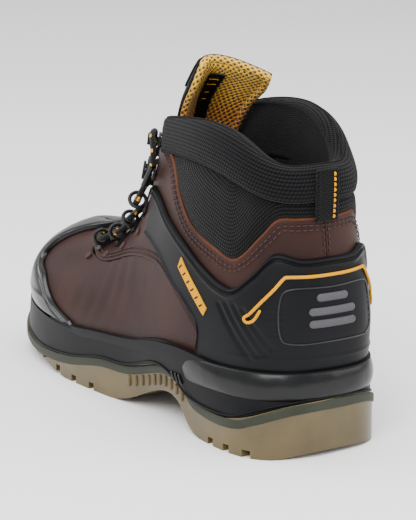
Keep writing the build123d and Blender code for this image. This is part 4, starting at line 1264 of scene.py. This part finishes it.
BAND_DROP = 0.0052      # height of the grey-green band, metres
ring = np.linspace(0, ROUND, 337)[:-1]
ring_xy = outline(ring)
ring_n = outward(ring)
ring_top = seam_z(ring_xy[:, 1])
cols = []
for frac, out in ((0.0, 0.15), (0.0, 0.6), (0.15, 0.85), (0.85, 0.85), (1.0, 0.55), (1.0, 0.15)):
    z = ring_top - 0.0004 - frac * BAND_DROP
    cols.append(np.column_stack([ring_xy, z]) + ring_n * out * MM)
band_outer = np.stack(cols, 1)
band_inner = band_outer - ring_n[:, None, :] * 0.9 * MM
band = grid_shell("outsole_band", band_outer, band_inner, [BAND], loop=True)
finish_piece(band)
mid_seam = sole_side(ring, ring_top + 0.0008) + ring_n * 0.15 * MM
seam_bead = tube("midsole_seam_bead", mid_seam, 0.7, [MIDSOLE], 8, closed=True)
finish_piece(seam_bead)

LEDGE_END = 4.15
LEDGE_TOP = 0.0487
LEDGE_HEIGHT = 0.0165
led = np.linspace(-LEDGE_END, LEDGE_END, 220)
led_ring = np.where(led < 0, led + ROUND, led)
fade = np.clip((LEDGE_END - np.abs(led)) / 0.8, 0, 1) ** 0.6
led_out = outward(led_ring)
cols = []
for j in range(17):
    f = j / 16
    z = LEDGE_TOP - LEDGE_HEIGHT * f - 0.001 * (1 - fade)
    swell = (3.4 * math.sin(math.pi * min(1, 0.10 + 0.90 * f)) ** 0.6 - 1.2) * fade - 0.6 * (1 - fade)
    p = sole_side(led_ring, z)
    wob = 0.16 * ripple(p, 160, 2.0)
    cols.append(p + led_out * ((swell + wob * fade) * MM)[:, None])
ledge_outer = np.stack(cols, 1)
ledge_inner = ledge_outer - led_out[:, None, :] * 3.4 * MM
ledge = grid_shell("midsole_ledge", ledge_outer, ledge_inner, [LEDGE])
finish_piece(ledge)


def rim_top(g):
    """Rounded bead where the midsole laps the upper."""
    return 1.1 + 2.9 * np.sin(math.pi * np.clip(g["lo"] / (g["lo"] + g["hi"]), 0, 1)) ** 0.6


RIM_TOP = ([3.6, 4.2, 4.8, 5.4, 6, 7, 8], [0.03, 0.065, 0.08, 0.065, 0.035, 0.022, 0.02])
for side in (0, 1):
    ks = np.linspace(3.6, 10.4, 22)
    low = mirrored(level(-0.06, *ks), side)
    high = mirrored(edge_at(ks, RIM_TOP), side)
    rim = panel("midsole_rim_%d" % side, low, high, rim_top, 0.3, [MIDSOLE], 200, 20, 1.6, 0.3)
    finish_piece(rim)
slits = []
for i in range(3):
    s = np.full(12, 4.25 + 0.13 * i) + np.linspace(0, 0.05, 12)
    z = np.linspace(0.029, 0.0345, 12)
    p = sole_side(s, z) + outward(s) * 0.3 * MM
    slits.append(tube("slit_%d" % i, p, 0.75, [BUMPER], 8))
finish_piece(join("midsole_slits", slits))
ribs = []
for k in np.arange(4.55, 6.6, 0.22):
    s = np.full(10, k)
    xy = outline(s)
    zt = seam_z(xy[:, 1])[0]
    z = np.linspace(zt - 0.0065, zt - 0.013, 10)
    p = np.column_stack([xy, z]) + outward(s) * 0.1 * MM
    ribs.append(tube("waist_rib_%d" % len(ribs), p, 1.2, [OUTSOLE], 8))
finish_piece(join("outsole_waist_ribs", ribs))

# ---- studio
floor_mat, _, fb = node_mat("floor")
surface(fb, Base_Color=(0.93, 0.93, 0.935, 1), Roughness=0.9, Specular_IOR_Level=0.1)
bpy.ops.mesh.primitive_plane_add(size=6, location=(0, 0, 0))
floor = bpy.context.object
floor.name = "floor"
floor.data.materials.append(floor_mat)
world = bpy.data.worlds.new("studio")
bpy.context.scene.world = world
world.use_nodes = True
surface(world.node_tree.nodes["Background"], Color=(1, 1, 1, 1), Strength=0.9)
TARGET = Vector((-0.0008, 0.01765, 0.08246))
LIGHTS = [
    ("key", (0.9, 0.75, 1.15), 0.9, 22), ("fill", (-0.9, 0.9, 0.8), 1.2, 12),
    ("front", (0.8, -0.9, 0.9), 1.0, 9), ("top", (0.0, 0.1, 1.5), 1.1, 19),
]
for name, loc, size, power in LIGHTS:
    light = bpy.data.lights.new(name, "AREA")
    light.energy = power
    light.size = size
    lo = bpy.data.objects.new(name, light)
    bpy.context.scene.collection.objects.link(lo)
    lo.location = loc
    lo.rotation_euler = (TARGET - Vector(loc)).to_track_quat("-Z", "Y").to_euler()
camera = bpy.data.cameras.new("camera")
camera.lens = 167.98
camera.sensor_width = 36
cam = bpy.data.objects.new("camera", camera)
bpy.context.scene.collection.objects.link(cam)
BACK = Vector((0.5048, 0.8236, 0.2583)).normalized()
DISTANCE = 1.442
cam.location = TARGET + BACK * DISTANCE
cam.rotation_euler = (-BACK).to_track_quat("-Z", "Y").to_euler()
bpy.context.scene.camera = cam
